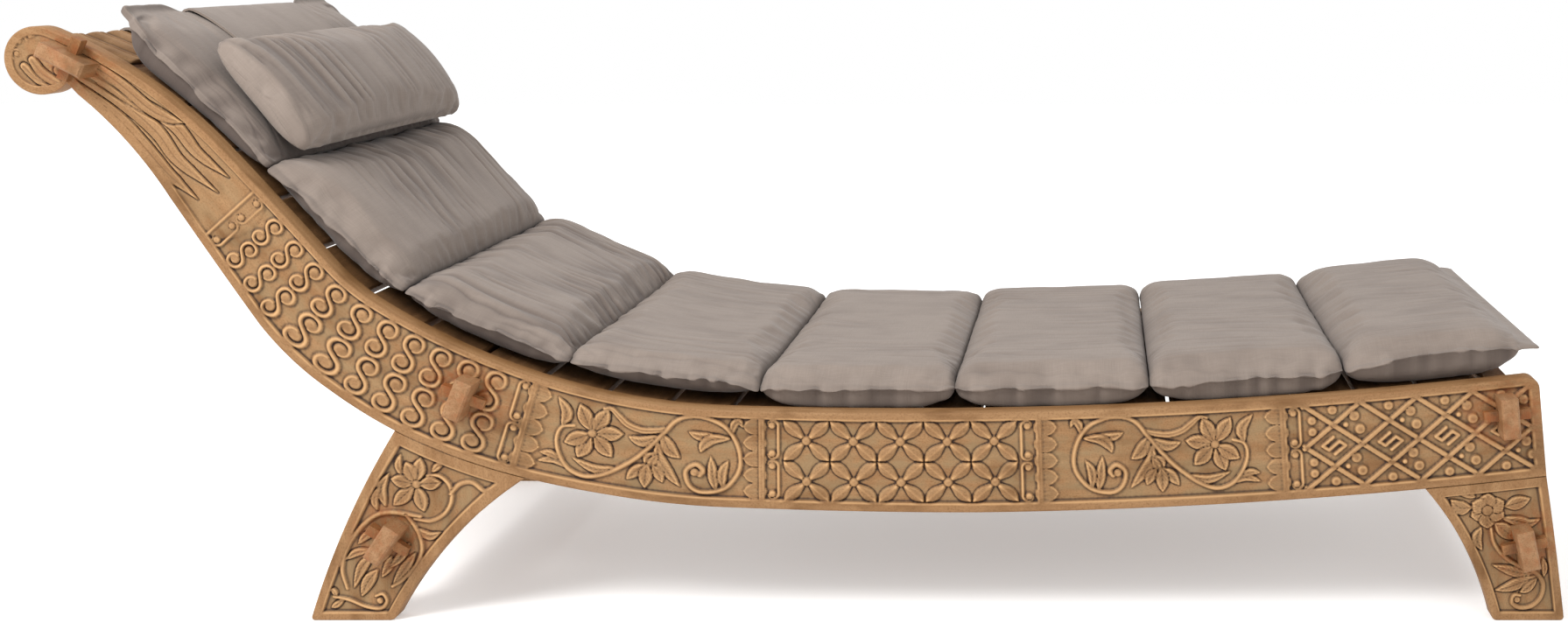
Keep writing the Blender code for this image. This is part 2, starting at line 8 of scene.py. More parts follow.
# %% Load the solids
import bpy
import numpy as np
from math import cos, pi, radians, sin
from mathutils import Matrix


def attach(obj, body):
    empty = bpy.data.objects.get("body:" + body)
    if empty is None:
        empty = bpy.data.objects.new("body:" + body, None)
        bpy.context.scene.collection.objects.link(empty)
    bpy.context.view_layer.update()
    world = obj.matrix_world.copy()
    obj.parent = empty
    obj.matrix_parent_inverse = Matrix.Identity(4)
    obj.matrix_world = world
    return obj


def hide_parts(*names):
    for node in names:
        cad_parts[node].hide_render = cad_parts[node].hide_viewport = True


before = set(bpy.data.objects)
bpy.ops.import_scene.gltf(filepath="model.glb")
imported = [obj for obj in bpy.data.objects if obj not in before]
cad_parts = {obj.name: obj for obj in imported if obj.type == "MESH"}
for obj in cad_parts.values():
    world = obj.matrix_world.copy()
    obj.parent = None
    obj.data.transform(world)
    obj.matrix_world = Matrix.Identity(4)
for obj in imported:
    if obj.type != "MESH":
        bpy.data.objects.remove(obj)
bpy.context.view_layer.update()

# %% [markdown]
# ## The camera
# The photograph was taken from the long side, a little above the bed, well to the right of the
# scroll. A level lens with a sideways shift would keep the uprights parallel; here the lens also
# looks down by about ten degrees, which is what the legs' lean shows.

# %% Camera
PHOTO_WIDE, FOCAL_LENGTH, SIDE_SHIFT = 1791, 2167, -359.5       # in pixels of the photograph
CAMERA_AT = (0.3985, -2.901, 0.9124)
LOOK_DOWN = 10.6

scene = bpy.context.scene
lens = bpy.data.cameras.new("photo_camera")
lens.sensor_width = 36
lens.lens = FOCAL_LENGTH / PHOTO_WIDE * lens.sensor_width
lens.shift_x = SIDE_SHIFT / PHOTO_WIDE
camera = bpy.data.objects.new("photo_camera", lens)
camera.location = CAMERA_AT
camera.rotation_euler = (radians(90 - LOOK_DOWN), 0, 0)
scene.collection.objects.link(camera)
scene.camera = camera
print("lens", round(lens.lens, 1), "mm")

# %% [markdown]
# ## Floor and light
# Catalogue light: a bright white room, one large soft light high on the left and a weaker one from
# the front. Small lamps would draw hard shadows into the carving; a wide one only shades its walls.
# The floor is one pale sheet, so that the legs throw a soft shadow.

# %% Colours and nodes
def linear(code):
    """An sRGB hex colour as linear light."""
    parts = [int(code[i:i + 2], 16) / 255 for i in (1, 3, 5)]
    return tuple(p / 12.92 if p <= 0.04045 else ((p + 0.055) / 1.055) ** 2.4 for p in parts) + (1.0,)


def add(tree, kind, inputs=None, **settings):
    """Add a shader node. An input is a value, or another node's output to link from."""
    node = tree.nodes.new("ShaderNode" + kind)
    for key, value in settings.items():
        setattr(node, key, value)
    for key, value in (inputs or {}).items():
        if isinstance(value, bpy.types.NodeSocket):
            tree.links.new(value, node.inputs[key])
        else:
            node.inputs[key].default_value = value
    return node


def start_material(name):
    """An empty node material with its shader, ready for links."""
    material = bpy.data.materials.new(name)
    material.use_nodes = True
    return material, material.node_tree, material.node_tree.nodes["Principled BSDF"]


def blended(tree, share, first, second):
    """A colour between two others."""
    return add(tree, "Mix", {0: share, 6: first, 7: second}, data_type="RGBA").outputs[2]


def ramp(tree, value, low=0.0, high=1.0, to=(0.0, 1.0)):
    """A value stretched from the range low to high to another range."""
    ends = {"Value": value, "From Min": low, "From Max": high, "To Min": to[0], "To Max": to[1]}
    return add(tree, "MapRange", ends).outputs["Result"]


def times(tree, first, second):
    """Two values multiplied."""
    return add(tree, "Math", {0: first, 1: second}, operation='MULTIPLY').outputs[0]


def bumped(tree, height, strength, distance, below=None):
    """Relief from a height, laid over other relief."""
    inputs = {"Height": height, "Strength": strength, "Distance": distance}
    if below is not None:
        inputs["Normal"] = below
    return add(tree, "Bump", inputs).outputs["Normal"]


print("colour and node helpers ready")

# %% Floor, lamps and room
paper, tree, shader = start_material("matt_white_paper")
fibre = add(tree, "TexNoise", {"Scale": 3.0, "Detail": 3.0})
tone = blended(tree, fibre.outputs["Fac"], linear("#F1F0EF"), linear("#F5F4F3"))
tree.links.new(tone, shader.inputs["Base Color"])
shader.inputs["Roughness"].default_value = 0.9
shader.inputs["Emission Color"].default_value = linear("#FFFFFF")
shader.inputs["Emission Strength"].default_value = 0.33

HALF_FLOOR = 9.0
floor_mesh = bpy.data.meshes.new("floor")
corners = [(-1, -1), (1, -1), (1, 1), (-1, 1)]
floor_mesh.from_pydata([(x * HALF_FLOOR, y * HALF_FLOOR, 0) for x, y in corners], [], [(0, 1, 2, 3)])
floor_mesh.materials.append(paper)
floor = bpy.data.objects.new("floor", floor_mesh)
scene.collection.objects.link(floor)

room = bpy.data.worlds.new("white_room")
room.use_nodes = True
room.node_tree.nodes["Background"].inputs["Color"].default_value = linear("#FFFFFF")
room.node_tree.nodes["Background"].inputs["Strength"].default_value = 1.0
scene.world = room
scene.view_settings.view_transform = 'Standard'


def lamp(name, place, target, size, power):
    """A square soft light at place, turned to target."""
    data = bpy.data.lights.new(name, 'AREA')
    data.size, data.energy = size, power
    obj = bpy.data.objects.new(name, data)
    obj.location = place
    aim = np.array(target) - np.array(place)
    aim = aim / np.linalg.norm(aim)
    obj.rotation_euler = (np.arccos(-aim[2]), 0, np.arctan2(aim[1], aim[0]) - pi / 2)
    scene.collection.objects.link(obj)


lamp("key", (-1.8, -2.2, 3.0), (0, 0, 0.3), 1.4, 120)
lamp("front_fill", (1.9, -3.4, 1.6), (0.2, 0, 0.3), 2.0, 14)
print("room lit")

# %% [markdown]
# ## One curve for the whole bed
# Everything on this bed follows the top edge of its sides: a scroll, a raked back, a hip and an
# almost level seat. It is drawn as five arcs that meet without a kink. `at` turns a place along that
# edge and a height square to it into a point, so a slat, a pad and a carved leaf can all be placed
# by the same two numbers.

# %% The seat line
HALF_LENGTH = 1.049
SCROLL_R = 0.045
NECK_HEADING = radians(-23.5)
NECK_X = SCROLL_R * (1 - sin(NECK_HEADING)) - HALF_LENGTH
NECK_Z = 0.8185
ARCS = ((0.269, -25.7), (0.204, -1.5), (0.083, 17.6), (0.496, 31.2), (1.112, 8.7))
BED_END = sum(length for length, turn in ARCS)


def seat(s):
    """Point and heading of the sides' top edge, s metres from the neck; straight before the neck."""
    left = np.array(s, float)
    before = np.minimum(left, 0)
    x = NECK_X + before * cos(NECK_HEADING)
    z = NECK_Z + before * sin(NECK_HEADING)
    heading = np.full(left.shape, NECK_HEADING)
    for i, (length, turn) in enumerate(ARCS):
        run = np.clip(left, 0, length if i + 1 < len(ARCS) else None)
        end = heading + radians(turn) / length * run
        x = x + (np.sin(end) - np.sin(heading)) * length / radians(turn)
        z = z - (np.cos(end) - np.cos(heading)) * length / radians(turn)
        heading, left = end, left - run
    return x, z, heading


def at(s, d):
    """Point at height d square to the top edge."""
    x, z, heading = seat(s)
    return x - d * np.sin(heading), z + d * np.cos(heading)


WIDTHS = ((0.05, 0.060), (0.30, 0.105), (0.48, 0.131), (0.66, 0.147), (0.93, 0.138), (1.40, 0.142))


def board_width(s):
    """Width of a side at s: a smooth curve through the measured widths."""
    places, widths = np.array(WIDTHS).T
    s = np.clip(s, places[0], places[-1] - 1e-9)
    i = np.clip(np.searchsorted(places, s, side='right') - 1, 0, len(places) - 2)
    before, after = np.maximum(i - 1, 0), np.minimum(i + 2, len(places) - 1)
    step = places[i + 1] - places[i]
    m0 = (widths[i + 1] - widths[before]) / (places[i + 1] - places[before]) * step
    m1 = (widths[after] - widths[i]) / (places[after] - places[i]) * step
    t = (s - places[i]) / step
    return ((widths[i] * (1 + 2 * t) + m0 * t) * (1 - t) ** 2
            + (widths[i + 1] * (3 - 2 * t) - m1 * (1 - t)) * t ** 2)


print("seat line", round(BED_END, 3), "m, widest board", round(float(board_width(0.66)), 3), "m")

# %% [markdown]
# ## Carving as a field of heights
# A carver leaves the border standing, sinks the ground by about 5 mm and shapes what is left. A
# sculpt brush could do that by hand, and a texture could fake it, but the carving has to be real
# geometry and repeat exactly. So each face is a fine grid of points, and each form, a leaf, a disc
# or a ribbon, is laid on it as a height in millimetres. A later form cuts into an earlier one, as
# the chisel does, and that draws the dark line round it.

# %% A face to carve
DEPTH = 4.6                  # of the sunk ground below the border, mm
SHOULDER = 1.6               # width of the wall round the sunk ground
SAFE = 0.6                   # forms stay this far inside the sunk ground's edge
DEEPEST_LINE = 1.5           # a cut line may go this far below the ground


class Face:
    """Points of a carved face: place along and below (mm), mm inside the sunk field, height (mm)."""

    def __init__(self, along, below, inside):
        self.s, self.v, self.inside = along.ravel(), below.ravel(), inside.ravel()
        wall = np.clip(self.inside / SHOULDER, 0, 1)
        self.h = -DEPTH * wall * wall * (3 - 2 * wall)

    def near(self, low, high):
        """Points in a box."""
        inside = (self.s > low[0]) & (self.s < high[0]) & (self.v > low[1]) & (self.v < high[1])
        return np.nonzero(inside)[0]

    def lay(self, points, inside, height, join):
        """Give a form's height to the points inside it, but never to the border; join only adds to it."""
        keep = (inside > 0) & (self.inside[points] > SAFE)
        new = np.maximum(height[keep], self.h[points[keep]]) if join else height[keep]
        self.h[points[keep]] = new

    def sink(self, points, depth):
        """Cut points deeper, but never the border."""
        keep = self.inside[points] > SAFE
        self.h[points[keep]] = np.maximum(self.h[points[keep]] - depth[keep], -DEPTH - DEEPEST_LINE)


def curve(points, count):
    """Smooth line through a few points."""
    p = np.array(points, float)
    p = np.vstack([2 * p[0] - p[1], p, 2 * p[-1] - p[-2]])
    t = np.linspace(0, len(points) - 1 - 1e-9, count)
    i = t.astype(int)
    f = (t - i)[:, None]
    a, b, c, d = p[i], p[i + 1], p[i + 2], p[i + 3]
    bend, twist = 2 * a - 5 * b + 4 * c - d, 3 * b - a - 3 * c + d
    return b + (c - a) * f / 2 + bend * f ** 2 / 2 + twist * f ** 3 / 2


def spiral(centre, r0, r1, a0, a1, count=14):
    """Points round a centre while the radius changes; angles in degrees, clockwise on the face."""
    a, r = np.radians(np.linspace(a0, a1, count)), np.linspace(r0, r1, count)
    return np.stack([centre[0] + r * np.cos(a), centre[1] + r * np.sin(a)], 1)


def beside(line, s, v):
    """Distance of points from a line, which side they are on, and how far along it they are."""
    a, ab = line[:-1], line[1:] - line[:-1]
    ps, pv = s[:, None] - a[:, 0], v[:, None] - a[:, 1]
    f = np.clip((ps * ab[:, 0] + pv * ab[:, 1]) / (ab ** 2).sum(1), 0, 1)
    gap = np.hypot(ps - f * ab[:, 0], pv - f * ab[:, 1])
    row, k = np.arange(len(s)), gap.argmin(1)
    side = np.sign(ab[k, 0] * pv[row, k] - ab[k, 1] * ps[row, k])
    return gap[row, k], side, (k + f[row, k]) / len(a)


def noise(a, b, seed):
    """Smooth random heights from 0 to 1 over a plane."""
    table = np.random.default_rng(seed).random((97, 89))
    i, j = np.floor(a).astype(int), np.floor(b).astype(int)
    fa, fb = a - i, b - j
    fa, fb = fa * fa * (3 - 2 * fa), fb * fb * (3 - 2 * fb)
    def corner(p, q):
        return table[(i + p) % 97, (j + q) % 89]
    return (corner(0, 0) * (1 - fa) * (1 - fb) + corner(1, 0) * fa * (1 - fb)
            + corner(0, 1) * (1 - fa) * fb + corner(1, 1) * fa * fb)


RIBBON = (0.7, 1, 1, 1, 1, 1, 0.7)
LEAF = (0.25, 0.72, 0.97, 1.0, 0.86, 0.55, 0.05)
BAR = (1, 1)
VEIN_PITCH = 3.6
RIB_WIDE = 0.9
LINE_WIDE = 1.45


def ripple(turns):
    """0 at every whole turn and 1 between them."""
    return 0.5 - 0.5 * np.cos(2 * pi * turns)


def blade(face, points, half, shape=LEAF, top=-0.7, edge=2.6, smooth=24, rib=0.0, flute=0.0, ridge=0.0,
          scoop=0.0, veins=0.0, join=False, base=-DEPTH, line_cut=0.0):
    """A form along a line, from its half width and its shape along the line: leaf, petal, stem or bar.

    Its top can have a rib, flutes, a ridge, a hollow or veins, and line_cut draws a line round it.
    """
    line = curve(points, smooth) if smooth else np.array(points, float)
    where = face.near(line.min(0) - half - 3, line.max(0) + half + 3)
    gap, side, t = beside(line, face.s[where], face.v[where])
    wide = half * np.interp(t, np.linspace(0, 1, len(shape)), shape)
    inside = wide - gap
    round_off = 1 - np.sqrt(np.clip(1 - (1 - np.clip(inside / edge, 0, 1)) ** 2, 0, 1))
    height = top - (top - base) * round_off
    out = gap / np.maximum(wide, 0.5)
    run = t * np.hypot(*np.diff(line, axis=0).T).sum()
    fade = np.clip(inside / 1.5, 0, 1)
    height -= rib * np.exp(-(gap / RIB_WIDE) ** 2) * (t < 0.9)
    height -= flute * ripple(2.0 * side * out) * fade
    height -= ridge * out
    height -= scoop * np.clip(inside / 5, 0, 1)
    height -= veins * ripple((0.8 * gap - 0.6 * run) / VEIN_PITCH) * fade
    face.lay(where, inside, np.maximum(height, -DEPTH), join)
    if line_cut:
        face.sink(where, line_cut * np.clip(1 - (inside / LINE_WIDE + 0.5) ** 2, 0, 1))


def disc(face, centre, r, top=-0.2, dome=1.1, join=False):
    """A round boss with a domed top."""
    where = face.near(np.array(centre) - r - 1, np.array(centre) + r + 1)
    gap = np.hypot(face.s[where] - centre[0], face.v[where] - centre[1])
    wall = np.clip((r - gap) / 1.2, 0, 1)
    face.lay(where, r - gap, -DEPTH + (DEPTH + top - dome * (gap / r) ** 2) * wall, join)


print("carving tools ready")

# %% [markdown]
# ## The motifs
# Along each side the carver set out bands: flame leaves at the neck, a grid of S scrolls, a flowering
# stem, four-petalled flowers, the stem again, and at the foot a lattice of diamonds with squared S
# keys and pairs of discs. Bars with curled frames and a fringe of lotus petals part them. Each motif
# is a short function, so a band is a loop and not a long list of points.

# %% Motif functions
def s_scroll(face, s, top, low, r):
    """An S: a ribbon rolled round a domed boss at each end."""
    half = 0.205 * r
    ring, boss = r - half, 0.54 * r
    upper, lower = (s + 0.12 * r, top), (s - 0.12 * r, low)
    for eye, way in ((upper, 1), (lower, -1)):
        disc(face, (eye[0] + way * 0.05 * r, eye[1] + way * 0.04 * r), boss, top=0.2, dome=2.2, join=True)
    path = np.vstack([spiral(upper, boss, ring, 440, 310, 10), spiral(upper, ring, ring, 295, 130, 12),
                      spiral(lower, ring, ring, -50, 115, 12), spiral(lower, ring, boss, 130, 260, 10)])
    blade(face, path, half, RIBBON, top=-0.2, edge=0.85 * half, smooth=0, join=True)


def c_frame(face, s, top, low, opens):
    """A bar that curls at both ends round a disc; opens is the side its discs are on."""
    r = 5.4
    ends = [(s + opens * 10.5, top + r + 2.6), (s + opens * 10.5, low - r - 2.6)]
    turn = (lambda a: a) if opens > 0 else (lambda a: 180 - a)
    line = np.vstack([spiral(ends[0], r * 0.7, r + 3.0, turn(30), turn(-180)),
                      spiral(ends[1], r + 3.0, r * 0.7, turn(180), turn(-30))])
    blade(face, line, 2.3, RIBBON, top=-1.0, edge=2.0, smooth=0)
    for end in ends:
        disc(face, end, r, top=-0.2, dome=1.0)


def upright(face, s, half, top, low):
    """A plain bar across the field."""
    blade(face, [(s, top - 2), (s, low + 2)], half, BAR, top=-0.4, edge=1.6, smooth=2)


LOTUS_PETALS = 5


def lotus(face, s, way, top, low):
    """A fringe of hollow pointed petals along an upright."""
    pitch = (low - top) / LOTUS_PETALS
    for k in range(LOTUS_PETALS):
        v = top + pitch * (k + 0.5)
        blade(face, [(s, v), (s + way * 10, v), (s + way * 21, v)], pitch / 2,
              (0.96, 1, 0.99, 0.93, 0.8, 0.55, 0.05), top=-0.6, edge=1.5, flute=0.7, scoop=1.6)


def petals(face, centre, tips, half, boss, **look):
    """A flower: petals from the middle to each tip, and a boss."""
    for tip in tips:
        c, t = np.array(centre), np.array(tip)
        blade(face, [c + (t - c) * 0.12, c + (t - c) * 0.6, t], half, **look)
    disc(face, centre, boss, top=0.0, dome=1.8)


def star_flower(face, centre, half_wide, half_high):
    """Four ridged petals to the corners of a cell."""
    tips = [(centre[0] + i * half_wide, centre[1] + j * half_high) for i in (-1, 1) for j in (-1, 1)]
    petal = (0.3, 0.6, 0.9, 1.0, 0.92, 0.62, 0.08)
    petals(face, centre, tips, 9.2, 6.6, shape=petal, top=0.4, edge=1.2, ridge=3.4, line_cut=1.2)


def key_s(face, centre, size, lean):
    """A squared S whose strokes follow the lattice."""
    e1, e2 = np.array([cos(lean), -sin(lean)]), np.array([cos(lean), sin(lean)])
    turns = ((1, -1.1), (-1, -1.1), (-1, 0), (1, 0), (1, 1.1), (-1, 1.1))
    line = [np.array(centre) + size * (a * e1 + b * e2) for a, b in turns]
    blade(face, line, 2.6, BAR, top=-0.8, edge=1.3, smooth=0)


# The flowering stem, set out in mm from the left end of its band and below the top edge
STEM = ((221, 93.5), (225, 87), (215.6, 79.4), (203.6, 90.5), (209, 110), (226, 118.4), (254, 110),
        (272.6, 83), (270.5, 51.5), (254, 25), (227, 12.5), (203, 12.5), (186.5, 21), (174.5, 36.5),
        (161, 54.5), (143, 77), (122, 96.5), (101, 111.5), (80, 119), (59, 113), (44, 95), (37, 74),
        (41, 57.5), (56, 51.5))
TENDRIL = ((174.5, 33.5), (161, 37.4), (143, 39.5), (125, 35), (111.5, 25.4), (101, 17.6), (90.5, 19))
STEM_LEAVES = (
    (((164, 45.5), (146, 55.4), (126.5, 51.5)), 6.0), (((171.5, 42.5), (180.5, 60.5), (195.5, 72.5)), 7.5),
    (((165.5, 54.5), (169, 76), (182, 95), (197.6, 113.6)), 6.5),
    (((242, 38), (221, 39.5), (204.5, 34.4)), 5.0),
    (((258, 40.5), (236, 42.5), (225, 51.5), (221, 62.6)), 6.0),
    (((241, 114), (237.5, 92), (234.5, 66.5)), 5.5),
    (((250, 111), (249.5, 89), (257.6, 71.6)), 5.0), (((57.5, 112), (41, 106), (20, 113.6)), 4.5),
    (((46, 103), (34, 99), (20.5, 101)), 4.0), (((41, 54.5), (43, 36), (27.5, 17.6)), 6.0),
    (((261.5, 36.5), (265, 21.5), (272, 16), (277.4, 25)), 4.5),
    (((116, 99.5), (92, 106), (60.5, 97)), 5.0),
    (((161, 69.5), (156, 78), (152, 88)), 6.0), (((166, 72), (160, 84), (158, 90)), 5.0),
    (((151, 88), (141, 99), (131, 112.4)), 6.0), (((162, 88), (170, 98), (175.4, 110)), 6.0),
    (((155, 88), (154, 104), (154.4, 121)), 7.0))
FLOWER_MIDDLE = (80.6, 56.6)
FLOWER_TIPS = ((57.5, 20), (96.5, 18.5), (120.5, 49.4), (110, 84.5), (67.4, 95), (47.6, 78.5))
CURL_MIDDLE = (214.5, 90.5)


def flowering_stem(face, start, way):
    """The stem, its leaves and its flower; way -1 turns the band round."""
    def put(points):
        return [(start + way * u, v) for u, v in points]

    for points, half in STEM_LEAVES:
        blade(face, put(points), half * 1.3, top=-0.6, rib=1.6, veins=0.8, line_cut=1.0)
    blade(face, put(TENDRIL), 4.4, (0.7, 1, 1, 1, 0.8, 0.5), top=-0.5, rib=1.5, smooth=40)
    blade(face, put(STEM), 3.4, (1.2, 1, 1, 1, 1, 1, 0.6), top=-0.3, edge=3.4, smooth=140)
    disc(face, put([CURL_MIDDLE])[0], 6.0, top=-0.4)
    middle, tips = put([FLOWER_MIDDLE])[0], put(FLOWER_TIPS)
    petals(face, middle, tips, 10.4, 6.4, top=-0.4, rib=1.8, veins=0.9, line_cut=1.4)


print("motif functions:", 8)

# %% [markdown]
# ## The two sides
# A side is a plank, so it is built as a loft: one closed section after another along the seat line,
# each with over a hundred points down its carved face and two at its plain back. The head end narrows to
# the round of the scroll and the foot end has a rounded corner, so the sections shrink there. The
# carving only moves the face's points in and out, and it stays inside the plank.

# %% Sections of a side
FACE, INNER = 0.375, 0.343   # outer and inner face of a side, from the bed's middle
FOOT_CORNER_R = 0.016
CREASE = radians(-40)        # where the lower edge leaves the scroll
LOWER_EDGE_START = 0.070
GRID = 0.00125               # sections along the board
ROWS = 112                   # points down each section's face
ARRIS = 2.0                  # rounding of the face's edge, mm


def lower_side(s):
    """Depth of the lower edge below the top edge, round the scroll and along the board."""
    cx, cz = at(0.0, -SCROLL_R)
    x, z, heading = seat(s)
    down = np.stack([np.sin(heading), -np.cos(heading)])
    dx, dz = x - cx, z - cz
    b = down[0] * dx + down[1] * dz
    scroll = -b + np.sqrt(np.maximum(b * b - (dx * dx + dz * dz - SCROLL_R ** 2), 0))
    crease = (cx + SCROLL_R * cos(CREASE), cz + SCROLL_R * sin(CREASE))
    start = at(LOWER_EDGE_START, -float(board_width(LOWER_EDGE_START)))
    ex, ez = start[0] - crease[0], start[1] - crease[1]
    line = ((crease[0] - x) * ez - (crease[1] - z) * ex) / (down[0] * ez - down[1] * ex)
    hit = (x + line * down[0] - crease[0]) * ex + (z + line * down[1] - crease[1]) * ez
    return np.where(s >= LOWER_EDGE_START, board_width(s), np.where(hit > 0, line, scroll))


round_head = -SCROLL_R * np.cos(np.radians(np.arange(3, 90, 1.6)))
level = np.arange(0, BED_END - FOOT_CORNER_R, GRID)
round_foot = BED_END - FOOT_CORNER_R + FOOT_CORNER_R * np.sin(np.radians(np.linspace(0, 87, 16)))
stations = np.concatenate([round_head, level, round_foot])
upper = np.where(stations < 0, SCROLL_R - np.sqrt(np.maximum(SCROLL_R ** 2 - stations ** 2, 0)), 0)
past = np.maximum(stations - (BED_END - FOOT_CORNER_R), 0)
upper = upper + FOOT_CORNER_R - np.sqrt(np.maximum(FOOT_CORNER_R ** 2 - past ** 2, 0))
lower = lower_side(stations)
share = np.linspace(0, 1, ROWS)
along = np.repeat(stations[:, None], ROWS, 1)
below = upper[:, None] + (lower - upper)[:, None] * share
print("board grid", along.shape)

# %% Sunk field of a side
BORDER = ((0, 0.75, 1.25, 1.7, 2.2), (10.5, 8.0, 12.0, 11.5, 10.5))      # places in m, widths in mm
BORDER_LOW, BORDER_SCROLL, BORDER_FOOT, BORDER_NECK = 13.0, 10.5, 14.0, 4.0


def field_top(s):
    """Top of the sunk field, in mm like s."""
    return np.interp(s / 1000, *BORDER)


def field_low(s):
    """Bottom of the sunk field."""
    return board_width(s / 1000) * 1000 - BORDER_LOW


s_mm, v_mm = along * 1000, below * 1000
in_scroll = SCROLL_R * 1000 - BORDER_SCROLL - np.hypot(s_mm, v_mm - SCROLL_R * 1000)
in_board = np.minimum(v_mm - field_top(s_mm), (lower[:, None] * 1000 - BORDER_LOW) - v_mm)
in_board = np.minimum(in_board, np.minimum(BED_END * 1000 - BORDER_FOOT - s_mm, s_mm - BORDER_NECK))
board = Face(s_mm, v_mm, np.maximum(in_scroll, in_board))
print("sunk points", int((board.inside > 0).sum()))

# %% Scroll and flame leaves of the neck
for centre, r in (((-20, 18), 8.5), ((-31, 31), 8.0), ((-29, 48), 8.0)):
    blade(board, spiral(centre, 2.5, r, 60, -260), 2.2, RIBBON, top=-0.8, edge=2.0, smooth=0)
    disc(board, centre, r * 0.55, top=-0.4)
FLAMES = (
    (((-16, 60), (-2, 66), (12, 70), (30, 68)), 6), (((-8, 48), (8, 58), (28, 62), (52, 60)), 7),
    (((30, 46), (90, 47), (128, 54), (152, 66)), 9),
    (((60, 56), (130, 62), (190, 72), (240, 78), (296, 74)), 10),
    (((55, 38), (120, 40), (190, 45), (240, 55), (307, 47)), 10),
    (((60, 28), (130, 30), (200, 22), (250, 29), (302, 21.5)), 9),
    (((50, 17), (110, 21), (160, 26), (190, 21), (211, 11)), 8))
FLAME = (0.8, 0.95, 1, 1, 0.95, 0.7, 0.05)
FLAME_GROUND = -2.6
blade(board, ((-30, 45), (100, 45), (220, 45), (312, 45)), 60, BAR, top=FLAME_GROUND, edge=10.0, join=True)
for points, half in FLAMES:
    blade(board, points, half, FLAME, top=0.0, edge=0.9 * half, smooth=40, rib=1.4, base=FLAME_GROUND,
          line_cut=2.4)
print("flame leaves:", len(FLAMES))

# %% Dividers
def divider(face, s_frame, opens, s_bar, lotus_way):
    """Two curled frames, one above the other, with an upright and a fringe beside them."""
    top, low = float(field_top(s_frame)), float(field_low(s_frame))
    half = (top + low) / 2
    c_frame(face, s_frame, top + 0.5, half - 0.5, opens)
    c_frame(face, s_frame, half + 0.5, low - 0.5, opens)
    if lotus_way:
        lotus(face, s_bar + lotus_way * 4, lotus_way, top, low)
    upright(face, s_bar, 4.6 if lotus_way else 2.4, top, low)


DIVIDERS = ((362, -1, 337.5, 0), (768.5, 1, 791, 1), (1124.5, -1, 1099.5, -1),
            (1452.5, 1, 1478.5, 1), (1837.5, -1, 1812.5, -1))
for divider_sizes in DIVIDERS:
    divider(board, *divider_sizes)
print("dividers:", len(DIVIDERS))

# %% Bands of the back and the seat
COLUMNS, FIRST, PITCH = 10, 388.5, 38.9
EYES, EYE_R = (0.135, 0.370, 0.630, 0.870), 0.132        # shares of the field's width
for k in range(COLUMNS):
    s = FIRST + PITCH * k
    top, low = float(field_top(s)), float(field_low(s))
    rows = [top + (low - top) * share_down for share_down in EYES]
    for a, b in (rows[:2], rows[2:]):
        s_scroll(board, s, a, b, EYE_R * (low - top))

STEM_BANDS = ((797, 1), (1799, -1))
for start, way in STEM_BANDS:
    flowering_stem(board, start, way)

CELLS, CELL_START, CELL_WIDE, CELLS_MIDDLE = 5, 1128.5, 64.2, 1287
top, low = float(field_top(CELLS_MIDDLE)), float(field_low(CELLS_MIDDLE))
for k in range(CELLS):
    for j in (0.25, 0.75):
        middle = (CELL_START + CELL_WIDE * (k + 0.5), top + (low - top) * j)
        star_flower(board, middle, CELL_WIDE / 2 - 0.8, (low - top) / 4 - 0.8)

LATTICE_START, LATTICE_STEP, LATTICE_MIDDLE = 1842.0, 77.0, 1990
top, low = float(field_top(LATTICE_MIDDLE)), float(field_low(LATTICE_MIDDLE))
quarter, middle = (low - top) / 4, (top + low) / 2
lean = np.arctan2(quarter, LATTICE_STEP / 2)
for k in range(4):
    s = LATTICE_START + LATTICE_STEP * (k + 0.5)
    key_s(board, (s, middle), 9.4, lean)
    for v in (top + 8.5, low - 8.5):
        disc(board, (s, v), 7.0)
    for v in (middle - quarter, middle + quarter):
        for ds, dv, r in ((-9, -10.5, 7.6), (-2, 8.5, 7.6), (-21, 1, 4.0)):
            disc(board, (s + LATTICE_STEP / 2 + ds, v + dv), r)
    if k == 0:
        for v in (middle - quarter, middle + quarter):
            for dv in (-8, 8):
                disc(board, (s - LATTICE_STEP / 2 + 10, v + dv), 6.5)
LATTICE_END = BED_END * 1000 - BORDER_FOOT
for k in range(-2, 4):
    for first, last in ((top, low), (low, top)):
        s0 = LATTICE_START + LATTICE_STEP * k
        ends = []
        for s in (max(s0, LATTICE_START - 2), min(s0 + 2 * LATTICE_STEP, LATTICE_END)):
            ends.append((s, first + (last - first) * (s - s0) / (2 * LATTICE_STEP)))
        blade(board, ends, 3.5, BAR, top=-0.2, edge=1.4, smooth=2)
CHISEL_MARKS = 0.45
chisel = noise(board.s / 3.1, board.v / 4.3, 71) + 0.6 * noise(board.s / 1.4, board.v / 1.6, 73) - 0.8
board.h += CHISEL_MARKS * chisel * np.clip(board.inside / 2, 0, 1) * np.clip(-board.h / DEPTH, 0.25, 1)
print("carved heights", round(board.h.min(), 2), "to", round(board.h.max(), 2), "mm")

# %% Planks
def blur(field, reach):
    """Mean over a square of points, done along one way and then the other."""
    for axis in (0, 1):
        total = np.zeros_like(field)
        for k in range(-reach, reach + 1):
            index = np.clip(np.arange(field.shape[axis]) + k, 0, field.shape[axis] - 1)
            total += np.take(field, index, axis)
        field = total / (2 * reach + 1)
    return field


def give(mesh, name, values):
    """Store a number or a vector for each point, for the material to read."""
    kind = 'FLOAT' if values.ndim == 1 else 'FLOAT_VECTOR'
    store = mesh.attributes.new(name, kind, 'POINT')
    store.data.foreach_set('value' if values.ndim == 1 else 'vector', values.astype(np.float32).ravel())


